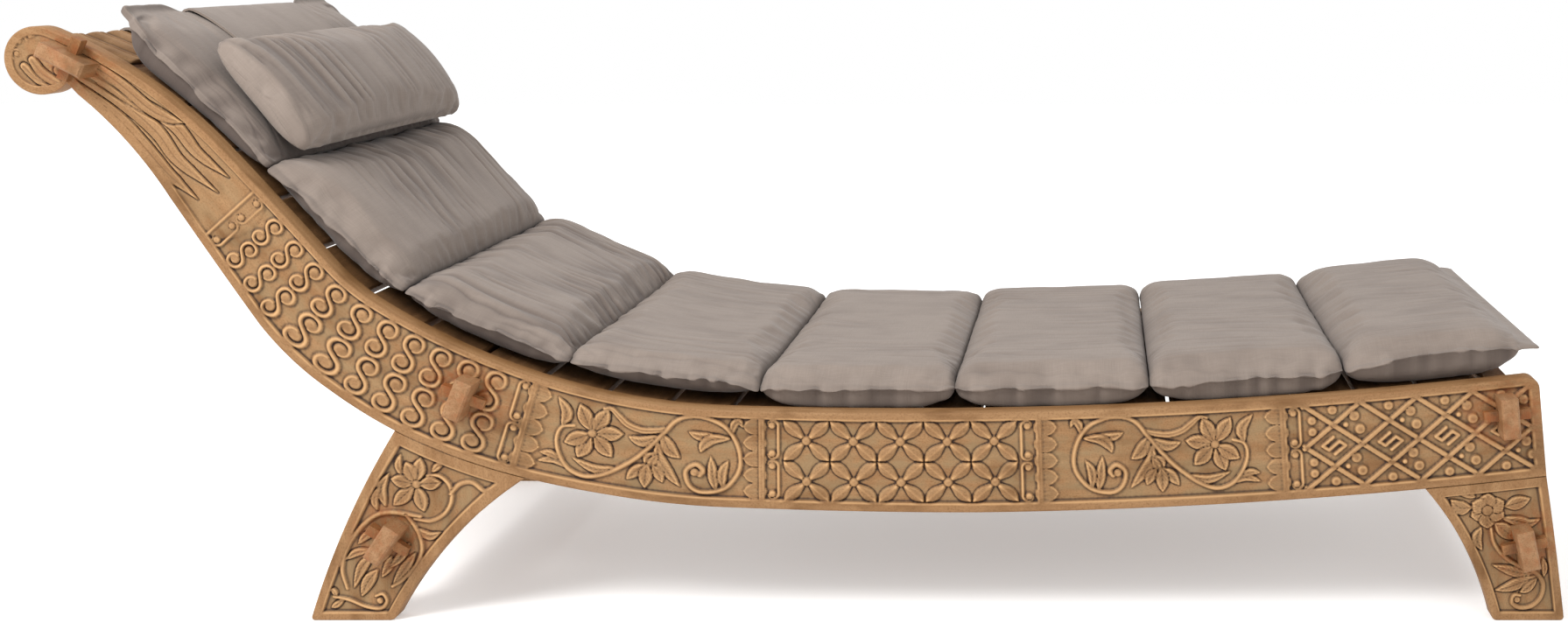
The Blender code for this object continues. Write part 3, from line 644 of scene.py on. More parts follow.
def new_object(name, points, faces, material, crease=None):
    """Mesh object from points and faces, shaded smooth except at sharp turns."""
    mesh = bpy.data.meshes.new(name)
    mesh.from_pydata(np.asarray(points).tolist(), [], faces)
    mesh.materials.append(material)
    mesh.shade_smooth()
    if crease:
        mesh.set_sharp_from_angle(angle=radians(crease))
    obj = bpy.data.objects.new(name, mesh)
    scene.collection.objects.link(obj)
    return obj


def lofted(count, ring):
    """Faces of closed rings of points joined one after another, with both ends capped."""
    a = np.arange(count - 1)[:, None] * ring + np.arange(ring)[None, :]
    b = np.arange(count - 1)[:, None] * ring + (np.arange(ring)[None, :] + 1) % ring
    quads = np.stack([a, b, b + ring, a + ring], -1).reshape(-1, 4)
    last = (count - 1) * ring
    return quads.tolist() + [list(range(ring))[::-1], list(range(last, last + ring))]


def plank(name, x, z, height, edge, grain, stain, sign, material, back):
    """A carved plank on the side that sign gives.

    x and z are its face's grid of points (m); height and edge are each point's height and its distance
    to the outline (mm); grain is its place along and across the wood; back lists the columns of the grid
    that the plain back repeats. The points remember what the wood's material needs to know.
    """
    height = 0.6 * height + 0.4 * blur(height, 1)
    rounding = np.clip(1 - edge / ARRIS, 0, 1)
    face_y = FACE + (height - ARRIS * (1 - np.sqrt(1 - rounding ** 2))) / 1000

    def with_back(values):
        return np.concatenate([values, values[:, back]], 1)

    y = np.concatenate([face_y, np.full((len(x), len(back)), INNER)], 1)
    faces = lofted(*y.shape)
    if sign > 0:
        faces = [f[::-1] for f in faces]
    points = np.stack([with_back(x), y * sign, with_back(z)], -1).reshape(-1, 3)
    obj = new_object(name, points, faces, material, 50)
    # cut, how far a point stands above or below its neighbours, drives the wood's painted highlight and
    # painted shade
    on_face = {"cut": height - blur(height, 3), "deep": np.clip(-height / DEPTH, 0, 1), "stain": stain}
    for key, values in on_face.items():
        give(obj.data, key, np.pad(values, ((0, 0), (0, len(back)))).ravel())
    give(obj.data, "grain", np.stack([with_back(grain[0]), with_back(grain[1]), y], -1).reshape(-1, 3))
    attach(obj, "frame")
    return obj


print("planks can be lofted")

# %% [markdown]
# ## Oiled, weathered teak
# Teak is a warm brown wood with long fine pores, left here with oil that has half worn off. Raised
# forms are painted paler, both as rubbing and as a painted highlight; cut lines are painted dark, both
# as the dark oil and dust they hold and as painted shade; the sunk ground has a thin grey bloom, and
# there are rusty water stains round the wedges. Grain could be an image; drawn from stretched noise it
# follows the board's curve, because each point carries its place along and across the plank. Pores
# are 0.3 mm wide on the real wood, too fine to show, so they are drawn about 1.3 mm wide.

# %% Teak
# The second of these colours is a painted highlight on raised forms, also their rubbing; the third is
# painted shade in cut lines, also their oil and dust
GREY_BLOOM, RUB_AND_HIGHLIGHT, OIL_AND_SHADE = "#7E6B4C", "#BA9163", "#2E190B"
WATER_STAIN, RUSTY_WOOD = "#874A1E", "#87481C"


def teak(name, pale, mid, dark, carved=False, grain_axis=0, bloom=0.0, rusty=0.0):
    """Teak in three tones. A carved piece reads its own grain, cut and stain from its points."""
    material, tree, shader = start_material(name)
    if carved:
        place = add(tree, "Attribute", attribute_name="grain").outputs["Vector"]
    else:
        turn = {0: (0, 0, 0), 1: (0, 0, pi / 2), 2: (0, pi / 2, 0)}[grain_axis]
        spot = add(tree, "TexCoord").outputs["Object"]
        place = add(tree, "Mapping", {"Vector": spot, "Rotation": turn}).outputs["Vector"]

    def stretched(long_mm, wide_mm, detail):
        scale = (1000 / long_mm, 1000 / wide_mm, 1000 / wide_mm)
        scaled = add(tree, "Mapping", {"Vector": place, "Scale": scale}).outputs["Vector"]
        inputs = {"Vector": scaled, "Scale": 1.0, "Detail": detail, "Roughness": 0.62}
        return add(tree, "TexNoise", inputs).outputs["Fac"]

    def stored(key):
        return add(tree, "Attribute", attribute_name=key).outputs["Fac"]

    def tinted(below, share, code):
        return blended(tree, share, below, linear(code))

    figure, pores, patches = stretched(420, 17, 5.0), stretched(34, 1.3, 2.0), stretched(120, 60, 3.0)
    pits = stretched(2.6, 1.9, 1.0)
    colour = blended(tree, ramp(tree, figure, 0.36, 0.66), linear(mid), linear(pale))
    colour = tinted(colour, ramp(tree, patches, 0.50, 0.72), dark)
    colour = tinted(colour, ramp(tree, pores, 0.60, 0.80, (0.0, 0.45)), dark)
    colour = tinted(colour, ramp(tree, pits, 0.48, 0.74, (0.0, 0.55)), dark)
    if carved:
        cloud = ramp(tree, stretched(46, 22, 4.0), 0.40, 0.62)
        spots = ramp(tree, stretched(16, 11, 4.0), 0.40, 0.62)
        cut = stored("cut")
        colour = tinted(colour, times(tree, times(tree, stored("deep"), cloud), bloom), GREY_BLOOM)
        # Painted highlight on raised forms (also rubbed paler) and painted shade in cut lines (also dark
        # oil and dust), both from cut
        colour = tinted(colour, ramp(tree, cut, 0.3, 1.8), RUB_AND_HIGHLIGHT)
        colour = tinted(colour, ramp(tree, cut, -0.2, -1.5), OIL_AND_SHADE)
        colour = tinted(colour, times(tree, stored("stain"), spots), WATER_STAIN)
    if rusty:
        colour = tinted(colour, ramp(tree, stretched(22, 14, 4.0), 0.46, 0.64, (0.0, rusty)), RUSTY_WOOD)
    tree.links.new(colour, shader.inputs["Base Color"])
    tree.links.new(ramp(tree, figure, to=(0.56, 0.74)), shader.inputs["Roughness"])
    shader.inputs["Specular IOR Level"].default_value = 0.35
    relief = bumped(tree, pits, 0.35, 0.0009)
    relief = bumped(tree, pores, 0.5, 0.0008, relief)
    relief = bumped(tree, figure, 0.35, 0.0016, relief)
    tree.links.new(relief, shader.inputs["Normal"])
    return material


TEAK_CARVED = teak("oiled_teak_carved", "#926F4A", "#815C37", "#63411C", carved=True, bloom=0.55)
TEAK_RAIL = teak("oiled_teak_rail", "#967250", "#835C39", "#64421F", grain_axis=1, rusty=0.35)
TEAK_FLUTED = teak("oiled_teak_fluted", "#926F4A", "#815C37", "#63411C", carved=True, bloom=0.2)
TEAK_SLAT = teak("sawn_teak_slat", "#7C5937", "#644425", "#4A3018", grain_axis=1)
TEAK_WEDGE = teak("split_teak_wedge", "#93683F", "#7A4E28", "#5A3618", grain_axis=2, rusty=0.7)
TEAK_LEDGER = teak("sawn_teak_ledger", "#6F5032", "#593B21", "#432B16", grain_axis=0)
print("teak tones:", 6)

# %% Sides
JOINT_AT = ((45, 22), (709, 58), (2115, 46))
stain = np.zeros(s_mm.shape)
for js, jv in JOINT_AT:
    stain = np.maximum(stain, np.clip(1.25 - np.hypot((s_mm - js) * 0.8, v_mm - jv) / 46, 0, 1))
edge = np.minimum(v_mm - upper[:, None] * 1000, (lower[:, None] * 1000) - v_mm)
edge = np.minimum(edge, (BED_END * 1000 - s_mm) + 0.05)
edge = np.where(s_mm < 0, SCROLL_R * 1000 - np.hypot(s_mm, v_mm - SCROLL_R * 1000), edge)
bx, bz = at(along, -below)
heights = board.h.reshape(along.shape)
for hand, sign in (("right", -1), ("left", 1)):
    side = plank(f"carved_side_{hand}", bx, bz, heights, np.maximum(edge, 0), (along, below), stain, sign,
                 TEAK_CARVED, back=[-1, 0])
    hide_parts(f"side_board_{hand}")
    print(side.name, len(side.data.vertices), "points")

# %% [markdown]
# ## The four legs
# Each leg is a short thick plank under the side, splayed outwards, with a plain border and a flowering
# stem of its own. It is carved in the same way as the sides, only here the two directions of the face
# are simply along the floor and up. Its top is curved like the side above it, so its back isn't left to
# two points: it repeats every fifth column of the face.

# %% Leg outlines
HEAD_LEG = dict(top=(0.647, 0.809), toes=(-0.703, -0.586), bows=(0.009, -0.017))
FOOT_LEG = dict(top=(2.000, BED_END), toes=(0.949, HALF_LENGTH), bows=(-0.0125, 0.001))
LEG_BORDER = 12.0
LEG_ROWS = (220, 116)        # points down the leg and across it
BACK_STEP = 5
TOE_ROUND = 0.006
FIT = 0.0003


def leg_grid(top, toes, bows):
    """Points of a leg's face from its joint to the floor, and their distance to its edges (mm)."""
    down = np.linspace(0, 1, LEG_ROWS[0])[:, None]
    corners = [np.array(at(s, -float(board_width(s)) - FIT)) for s in top]
    edges = []
    for corner, toe, sag in zip(corners, toes, (bows[0], -bows[1])):
        chord = np.array([toe, 0.0]) - corner
        square = np.array([chord[1], -chord[0]]) / np.hypot(*chord)
        edges.append(corner + chord * down + square * (sag * 4 * down * (1 - down)))
    left, right = edges
    lift = np.clip(1 - left[:, 1] / TOE_ROUND, 0, 1)
    tuck = TOE_ROUND * (1 - np.sqrt(1 - lift ** 2))
    left[:, 0] += tuck
    right[:, 0] -= tuck
    u = np.linspace(0, 1, LEG_ROWS[1])
    grid = left[:, None] + (right - left)[:, None] * u[None, :, None]
    s_top = top[0] + (top[1] - top[0]) * u
    seat_edge = np.stack(at(s_top, -board_width(s_top) - FIT), -1)
    chord = corners[0] + (corners[1] - corners[0]) * u[:, None]
    grid = grid + (1 - down[:, :, None]) ** 3 * (seat_edge - chord)[None]
    rate = np.gradient(left, axis=0), np.gradient(right, axis=0)
    lean = [np.abs(r[:, 1]) / np.hypot(*r.T) for r in rate]
    wide = (right - left)[:, 0]
    from_left = wide[:, None] * u * lean[0][:, None]
    from_right = wide[:, None] * (1 - u) * lean[1][:, None]
    from_top = (grid[:1, :, 1] - grid[:, :, 1]) * cos(0.3)
    sides = np.minimum(from_left, from_right)
    field = np.minimum(np.minimum(sides, grid[:, :, 1]), from_top) * 1000 - LEG_BORDER
    sides = np.minimum(sides, grid[:, :, 1]) * 1000
    return [a[:, ::-1] for a in (grid[:, :, 0], grid[:, :, 1], sides, field)]


print("leg outlines ready")

# %% Leaves and flowers of the legs
# All places are in mm along the floor and up
HEAD_CARVING = dict(
    leaves=(
        (((-612, 93), (-627, 76), (-640, 46)), 6.5), (((-606, 72), (-620, 55), (-630, 34)), 7.5),
        (((-614, 102), (-633, 98), (-648, 88)), 5), (((-604, 128), (-618, 122), (-630, 110)), 5),
        (((-552, 96), (-568, 74), (-586, 50)), 6.5), (((-546, 132), (-530, 122), (-513, 127)), 5.5),
        (((-588, 166), (-592, 190), (-580, 212)), 6.5), (((-600, 160), (-602, 176), (-592, 196)), 5),
        (((-557, 205), (-566, 222), (-562, 240)), 5), (((-585, 92), (-590, 78), (-600, 62)), 6),
        (((-560, 110), (-572, 92), (-588, 76)), 6), (((-665, 34), (-668, 42), (-674, 45)), 4),
        (((-655, 30), (-666, 22), (-674, 18)), 4), (((-520, 214), (-512, 222), (-505, 224)), 4.5)),
    stems=(
        (((-528, 208), (-510, 208), (-497, 194), (-496, 173), (-507, 154), (-527, 144), (-549, 147)), 3.2),
        (((-497, 182), (-484, 196), (-466, 199), (-450, 187), (-441, 191)), 3.6),
        (((-540, 150), (-558, 153), (-580, 156), (-603, 151), (-627, 131), (-645, 105), (-654, 75),
          (-649, 46)), 3.6),
        (((-560, 152), (-546, 130), (-541, 105), (-550, 81), (-570, 60), (-586, 49)), 3.4),
        (((-669, 34), (-648, 30), (-625, 20), (-605, 17), (-595, 27), (-600, 38), (-610, 35)), 3.0)),
    stem_edge=3.2, smooth=48, curl=(-604.5, 28.5), middle=(-543, 196.5),
    tips=((-535, 234), (-508, 199), (-535, 157), (-577, 166), (-578, 204), (-556, 228)),
    petal=10.0, boss=6.6, rib=1.6, veins=0.8)
FOOT_CARVING = dict(
    leaves=(
        (((913, 163), (898, 163), (885, 174)), 9), (((961, 165), (978, 170), (995, 176)), 8.5),
        (((958, 148), (980, 143), (994, 140), (1010, 146)), 7), (((928, 133), (923, 118), (931, 101)), 6.5),
        (((1003, 67), (980, 70), (946, 80)), 7), (((1010, 64), (987, 55), (970, 48), (951, 43)), 7.5),
        (((948, 140), (964, 128), (978, 117)), 9), (((1008, 60), (996, 47), (986, 40)), 6),
        (((918, 178), (908, 182), (896, 182)), 5), (((1016, 90), (1019, 76), (1018, 62)), 4)),
    stems=(
        (((942, 133), (947, 112), (962, 93), (985, 78), (1005, 70), (1017, 55), (1016, 36), (1005, 22),
          (988, 18), (976, 25), (978, 36), (986, 36)), 3.6),),
    stem_edge=3.4, smooth=60, curl=(982, 30), middle=(936, 159),
    tips=((914, 150), (937, 133), (960, 150), (959, 172), (936, 184), (915, 170)),
    petal=12, boss=8.0, rib=0.9, veins=0.9)


def carve_leg(face, leaves, stems, stem_edge, smooth, curl, middle, tips, petal, boss, rib, veins):
    """Leaves, stems over them, a boss where a stem curls up, and a flower."""
    for points, half in leaves:
        blade(face, points, half * 1.15, top=-0.5, rib=1.5, veins=0.8, line_cut=1.2)
    for points, half in stems:
        blade(face, points, half, RIBBON, top=-0.4, edge=stem_edge, smooth=smooth)
    disc(face, curl, 5.0)
    petals(face, middle, tips, petal, boss, top=-0.4, rib=rib, veins=veins, line_cut=1.4)


for name, sizes, carving, joint in (("head_leg", HEAD_LEG, HEAD_CARVING, (-583, 120)),
                                    ("foot_leg", FOOT_LEG, FOOT_CARVING, (987, 112))):
    lx, lz, edge, field = leg_grid(**sizes)
    face = Face(lx * 1000, lz * 1000, field)
    carve_leg(face, **carving)
    stain = np.clip(1.3 - np.hypot(lx * 1000 - joint[0], lz * 1000 - joint[1]) / 48, 0, 1)
    for hand, sign in (("right", -1), ("left", 1)):
        heights = face.h.reshape(lx.shape)
        leg = plank(f"carved_{name}_{hand}", lx, lz, heights, np.maximum(edge, 0), (lz, lx), stain, sign,
                    TEAK_CARVED, back=list(range(LEG_ROWS[1] - 1, -1, -BACK_STEP)))
        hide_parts(f"{name}_{hand}")
    print(name, "points", lx.size)

# %% [markdown]
# ## Rails, wedges, slats and ledgers
# These are plain planed pieces, and their solids already have the right shape: tenons with eased ends,
# tapered wedges, slats. Remaking them would gain nothing, so they keep their meshes and only get wood,
# and a bevel that breaks the edges as a plane and years of hands do.

# %% Planed pieces
def ease(node, width):
    """Break the sharp edges of a solid; its faces come unjoined, so they are joined first."""
    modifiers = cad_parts[node].modifiers
    modifiers.new("joined_faces", 'WELD').merge_threshold = 0.00001
    bevel = modifiers.new("worn_edges", 'BEVEL')
    bevel.width, bevel.segments, bevel.limit_method, bevel.angle_limit = width, 2, 'ANGLE', radians(35)
    bevel.harden_normals = True


def dress(node, material):
    """Give a solid its wood."""
    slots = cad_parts[node].data.materials
    slots.clear()
    slots.append(material)


PLANED = (("_rail", TEAK_RAIL, 0.0008), ("_stretcher", TEAK_RAIL, 0.0008), ("_wedge_", TEAK_WEDGE, 0.0010),
          ("slat_", TEAK_SLAT, 0.0010), ("_ledger_", TEAK_LEDGER, 0.0010))
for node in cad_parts:
    for word, wood, worn in PLANED:
        if word in node:
            dress(node, wood)
            ease(node, worn)
print("planed pieces dressed")

# %% [markdown]
# ## The carved crest rail
# The rail at the top of the back is the only one with carving: slanting rounded flutes, like the strands
# of a rope, across its upper face. The solid has the right tenons and wedge slots, so a copy of it is
# kept, its upper face is let down by the depth of the flutes, and a fluted cap is laid on.

# %% Crest rail
def read(mesh, name):
    """Places, normals or stored vectors of all points of a mesh."""
    values = np.empty(len(mesh.vertices) * 3, np.float32)
    if name in ("co", "normal"):
        mesh.vertices.foreach_get(name, values)
    else:
        mesh.attributes[name].data.foreach_get('vector', values)
    return values.reshape(-1, 3).astype(float)


CREST_AT, CREST_WIDE, RAIL_THICK = (0.045, -0.022), 0.084, 0.030
CREST_INNER = 0.3427
FLUTE_DEEP, FLUTE_PITCH, FLUTE_SLANT = 0.006, 0.054, 0.35
crest_x, crest_z = at(*CREST_AT)
crest_turn = float(seat(CREST_AT[0])[2])
crest_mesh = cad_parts["crest_rail"].data.copy()
shape = read(crest_mesh, "co")
above = -(shape[:, 0] - crest_x) * sin(crest_turn) + (shape[:, 2] - crest_z) * cos(crest_turn)
let_down = (above > RAIL_THICK / 2 - 0.0005) & (np.abs(shape[:, 1]) < CREST_INNER + 0.0002)
drop = np.where(let_down, FLUTE_DEEP, 0)
shape[:, 0] += drop * sin(crest_turn)
shape[:, 2] -= drop * cos(crest_turn)
crest_mesh.vertices.foreach_set('co', shape.ravel())
crest_mesh.materials.clear()
crest_mesh.materials.append(TEAK_RAIL)
crest = bpy.data.objects.new("carved_crest_rail", crest_mesh)
scene.collection.objects.link(crest)

rail_y, rail_x = np.arange(-CREST_INNER, CREST_INNER, 0.0015), np.linspace(-1, 1, 50) * CREST_WIDE / 2
ya, xa = np.meshgrid(rail_y, rail_x, indexing='ij')
strand = (ya - FLUTE_SLANT * xa) / FLUTE_PITCH
strand = strand - np.floor(strand)
groove = 0.3 * np.exp(-((strand - 0.62) / 0.05) ** 2)
cap_h = FLUTE_DEEP * (np.sqrt(np.clip(1 - (2 * strand - 1) ** 2, 0.02, 1)) - groove)
rim_round = np.clip((CREST_WIDE / 2 - np.abs(xa)) / 0.004, 0, 1)
cap_h = RAIL_THICK / 2 - FLUTE_DEEP + cap_h * np.sqrt(1 - (1 - rim_round) ** 2)
cap_low = np.full(xa.shape, RAIL_THICK / 2 - FLUTE_DEEP - 0.001)
rings = np.concatenate([np.stack([xa, ya, cap_h], -1), np.stack([xa, ya, cap_low], -1)[:, ::-1]], 1)
px = crest_x + rings[..., 0] * cos(crest_turn) - rings[..., 2] * sin(crest_turn)
pz = crest_z + rings[..., 0] * sin(crest_turn) + rings[..., 2] * cos(crest_turn)
points = np.stack([px, rings[..., 1], pz], -1).reshape(-1, 3)
cap = new_object("crest_flutes", points, lofted(*px.shape), TEAK_FLUTED, 55)
# cut paints a highlight on the strands' tops and shade in the grooves between them
give(cap.data, "cut", ((rings[..., 2] - RAIL_THICK / 2 + FLUTE_DEEP / 4) * 400).ravel())
give(cap.data, "deep", np.clip((RAIL_THICK / 2 - rings[..., 2]) / FLUTE_DEEP, 0, 1).ravel())
give(cap.data, "stain", np.zeros(px.size))
give(cap.data, "grain", np.stack([rings[..., 1], rings[..., 0], rings[..., 2]], -1).reshape(-1, 3))
for piece in (crest, cap):
    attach(piece, "frame")
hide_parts("crest_rail")
print("crest flutes", px.size, "points")

# %% [markdown]
# ## The woven cover
# Cushion and pillow wear the same heavy outdoor cloth, a warm grey woven from threads of two tones, with
# no sheen to speak of. A photograph of cloth could be wrapped round the pads; here two sets of streaks,
# one along the bed and one across it, stand for the threads, so the weave has no seams and follows each
# panel. Real threads are about 0.5 mm apart, too fine to show, so they are drawn 1.6 mm wide.

# %% Cloth
def cloth(name, warp, weft, shade, painted_shade):
    """Plain weave in two thread colours, worn in places, with painted shade in its creases and underneath.
    """
    material, tree, shader = start_material(name)
    place = add(tree, "Attribute", attribute_name="weave").outputs["Vector"]

    def threads(long_mm, wide_mm, detail, turned):
        scale = (1000 / wide_mm, 1000 / long_mm) if turned else (1000 / long_mm, 1000 / wide_mm)
        scaled = add(tree, "Mapping", {"Vector": place, "Scale": (*scale, 1.0)})
        return add(tree, "TexNoise", {"Vector": scaled.outputs["Vector"], "Scale": 1.0,
                                      "Detail": detail}).outputs["Fac"]

    along, across = threads(45, 1.6, 2.0, False), threads(30, 1.6, 2.0, True)
    worn, crinkle = threads(90, 60, 4.0, False), threads(60, 5, 3.0, False)
    weave = add(tree, "Math", {0: along, 1: across}, operation='ADD').outputs[0]
    crease = add(tree, "Attribute", attribute_name="crease").outputs["Fac"]
    colour = blended(tree, ramp(tree, weave, 0.75, 1.25), linear(warp), linear(weft))
    colour = blended(tree, ramp(tree, worn, 0.45, 0.75, (0.0, 0.5)), colour, linear(shade))
    # Painted shade: the crease value darkens the cloth in its creases, along the seams, under the pads and
    # on the head pad's side
    colour = blended(tree, crease, colour, linear(painted_shade))
    tree.links.new(colour, shader.inputs["Base Color"])
    tree.links.new(ramp(tree, weave, 0.0, 2.0, (0.82, 0.95)), shader.inputs["Roughness"])
    shader.inputs["Specular IOR Level"].default_value = 0.2
    shader.inputs["Sheen Weight"].default_value = 0.12
    shader.inputs["Sheen Roughness"].default_value = 0.5
    relief = bumped(tree, crinkle, 0.22, 0.003, bumped(tree, weave, 0.35, 0.0008))
    tree.links.new(relief, shader.inputs["Normal"])
    return material


# The last colour is the painted shade
COVER = cloth("woven_cover_warm_grey", "#7E7269", "#84786F", "#6C6058", "#554B46")
print("cloth:", COVER.name)

# %% [markdown]
# ## The cushion
# Eight pads lie in a row, sewn through at the seams, with a flat stitched lip where the top and the
# bottom sheet meet. A subdivided box with a bulge would look like foam; a real pad is two sheets with
# stuffing blown between them, and it wrinkles where the sheet has to shorten. So the top sheet of each
# pad starts a little low, is held along its seams, and a cloth simulation blows it up. The lips are
# made afterwards, because a thin edge would only crumple.

# %% Pads before they are stuffed
SEAMS = np.concatenate([np.linspace(0.070, 0.820, 4), np.linspace(0.820, 2.175, 6)[1:]])
PADS = len(SEAMS) - 1
SEAM_GAP = 0.0003
HALF_WIDE, DRAW_IN = 0.340, 0.012
RIM_AT = (0.070, 0.110, 0.190, 0.320, 0.600, 1.904, 2.175)
RIM_HEIGHTS = (0.054, 0.038, 0.023, 0.019, 0.026, 0.026, 0.036)
HEAD_AT, HEAD_HEIGHTS, HEAD_ROOM = (0.070, 0.320), (0.068, 0.040), 0.0085
CROWNS = (0.0, 0.062, 0.060, 0.053, 0.047, 0.051, 0.055, 0.061)
SUNK = (0.30, 0.15, 0.15, 0.35, 0.35, 0.35, 0.35, 0.25)
SQUARE = (6, 4, 5, 14, 22, 22, 16, 6)
FRONT = (6, 6, 7, 10, 16, 16, 14, 10)
ARCHES = (0.0, 0.010, 0.012, 0.014, 0.004, 0.002, 0.003, 0.010)
TUCK = (40, 12, 10, 6, 90, 90, 90, 24)
# Painted shade under each pad and, at a third of that, on its lips; darkest under the head pad
UNDER_SHADE = (0.85, 0.8, 0.8, 0.7, 0.3, 0.25, 0.25, 0.4)
SLAT_TOP, SLAT_PITCH, LIFT = -0.006, 0.0868, 0.0008
FOOT_LIP = 0.024
ALONG_STEPS, ACROSS_STEPS = 32, 108


def swell(t, power, root):
    """Stuffed profile: 0 at both ends of 0..1 and 1 in the middle."""
    return np.maximum(0, 1 - np.abs(2 * t - 1) ** power) ** root


def spread(count, pull):
    """Values from 0 to 1, closer together at the ends."""
    t = np.linspace(0, 1, count)
    return t - pull * np.sin(2 * pi * t) / (2 * pi)


def rim(s):
    """Height of the lips."""
    return np.interp(s, RIM_AT, RIM_HEIGHTS)


def head_crown(s):
    """Height of the head pad."""
    return np.interp(s, HEAD_AT, HEAD_HEIGHTS)


def slat_top(s):
    """The slats are straight, so in a hollow bend they stand a little above their own line."""
    bend = (seat(s + 0.01)[2] - seat(s - 0.01)[2]) / 0.02
    return SLAT_TOP + np.maximum(bend, 0) * SLAT_PITCH ** 2 / 8


def pad_top(i, u, v, s):
    """Height of a pad's top sheet; its near and far lips arch up in the middle."""
    edge = rim(s) + 0.002 + ARCHES[i] * swell(u, 2, 1)
    crown = head_crown(s) - HEAD_ROOM if i == 0 else CROWNS[i]
    along = SUNK[i] + (1 - SUNK[i]) * swell(u, SQUARE[i], 0.55)
    return edge + (crown - edge) * along * swell(v, FRONT[i], 0.55)


def pad_under(i, u, v, s):
    """Height of a pad's underside: at its lips, and on the slats inside them."""
    edge = rim(s) - 0.002 + ARCHES[i] * swell(u, 2, 1)
    return edge + (slat_top(s) + LIFT - edge) * swell(u, 4, 0.5) * swell(v, TUCK[i], 0.5)


def half_wide(u):
    """The lips are pulled in sharply at the seams and stand out beside them like ears."""
    return HALF_WIDE - DRAW_IN * (1 - swell(u, 8, 0.5))


def pad_ends(i):
    """Where a pad starts and ends along the bed; the last one leaves room for the lip at the foot."""
    return SEAMS[i] + SEAM_GAP, SEAMS[i + 1] - (FOOT_LIP if i == PADS - 1 else SEAM_GAP)


print("pads:", PADS)

# %% Stuffing the top sheets
FRAMES = 16


def stuffed(points, faces, held, pressure, spare, cap):
    """Blow a sheet up: held points stay, cloth has some to spare, no point moves further than cap."""
    mesh = bpy.data.meshes.new("sheet")
    mesh.from_pydata(points.tolist(), [], faces)
    sheet = bpy.data.objects.new("sheet", mesh)
    scene.collection.objects.link(sheet)
    sheet.vertex_groups.new(name="sewn").add(np.nonzero(held)[0].tolist(), 1.0, 'REPLACE')
    blow = sheet.modifiers.new("stuffing", 'CLOTH')
    blow.settings.quality = 5
    blow.settings.mass = 0.25
    blow.settings.tension_stiffness, blow.settings.compression_stiffness = 18, 9
    blow.settings.shear_stiffness, blow.settings.bending_stiffness = 4, 0.06
    blow.settings.vertex_group_mass = "sewn"
    blow.settings.use_pressure = True
    blow.settings.uniform_pressure_force = pressure
    blow.settings.shrink_min = -spare
    blow.settings.effector_weights.gravity = 0
    blow.collision_settings.use_collision = False
    blow.point_cache.frame_start, blow.point_cache.frame_end = 1, FRAMES
    for frame_number in range(1, FRAMES + 1):
        scene.frame_set(frame_number)
    result = sheet.evaluated_get(bpy.context.evaluated_depsgraph_get()).data
    moved = np.empty(len(points) * 3)
    result.vertices.foreach_get('co', moved)
    bpy.data.objects.remove(sheet)
    scene.frame_set(1)
    step = moved.reshape(-1, 3) - points
    far = np.maximum(np.linalg.norm(step, axis=1), 1e-9)
    return points + step * np.minimum(1, cap / far)[:, None]


def grid_faces(rows, columns, first):
    """Faces of a sheet of points, counted from first."""
    a = first + np.arange(rows - 1)[:, None] * columns + np.arange(columns - 1)
    return np.stack([a, a + 1, a + 1 + columns, a + columns], -1).reshape(-1, 4).tolist()


u, v = spread(ALONG_STEPS, 0.55), spread(ACROSS_STEPS, 0.55)[::-1]
U, V = np.meshgrid(u, v, indexing='ij')
sheets, faces, held = [], [], []
for i in range(PADS):
    s0, s1 = pad_ends(i)
    S = s0 + (s1 - s0) * U
    x, z = at(S, pad_top(i, U, V, S))
    sheets.append(np.stack([x, (2 * V - 1) * half_wide(U), z], -1).reshape(-1, 3))
    faces += grid_faces(ALONG_STEPS, ACROSS_STEPS, i * U.size)
    held.append(((U == 0) | (U == 1) | (V == 0) | (V == 1)).ravel())
sheets = np.concatenate(sheets)
blown = stuffed(sheets, faces, np.concatenate(held), pressure=3.0, spare=0.02, cap=0.007)
rise = np.linalg.norm(blown - sheets, axis=1)
print("stuffing moved the sheets by up to", round(rise.max() * 1000, 1), "mm")

# %% Lips, undersides and the whole cushion
LIPS, LIP_HALF = (0.005, 0.009, 0.009, 0.010, 0.008, 0.008, 0.008, 0.010), 0.0018
HEAD_LIP, HEAD_LIP_LIFT, FOOT_LIP_DROP = 0.014, 0.007, 0.004
FLAP_HALF = 0.175


def head_lip(y):
    """The lip at the head stands up at its corners and is pressed flat under the pillow's flap."""
    free = np.clip((np.abs(y) - FLAP_HALF - 0.005) / 0.05, 0, 1)
    return free * free * (3 - 2 * free)


def lip_noise(along, sign):
    """Waver of a lip on one side of the bed."""
    return float(noise(np.array([along]), np.array([sign + 3.0]), 83)[0])


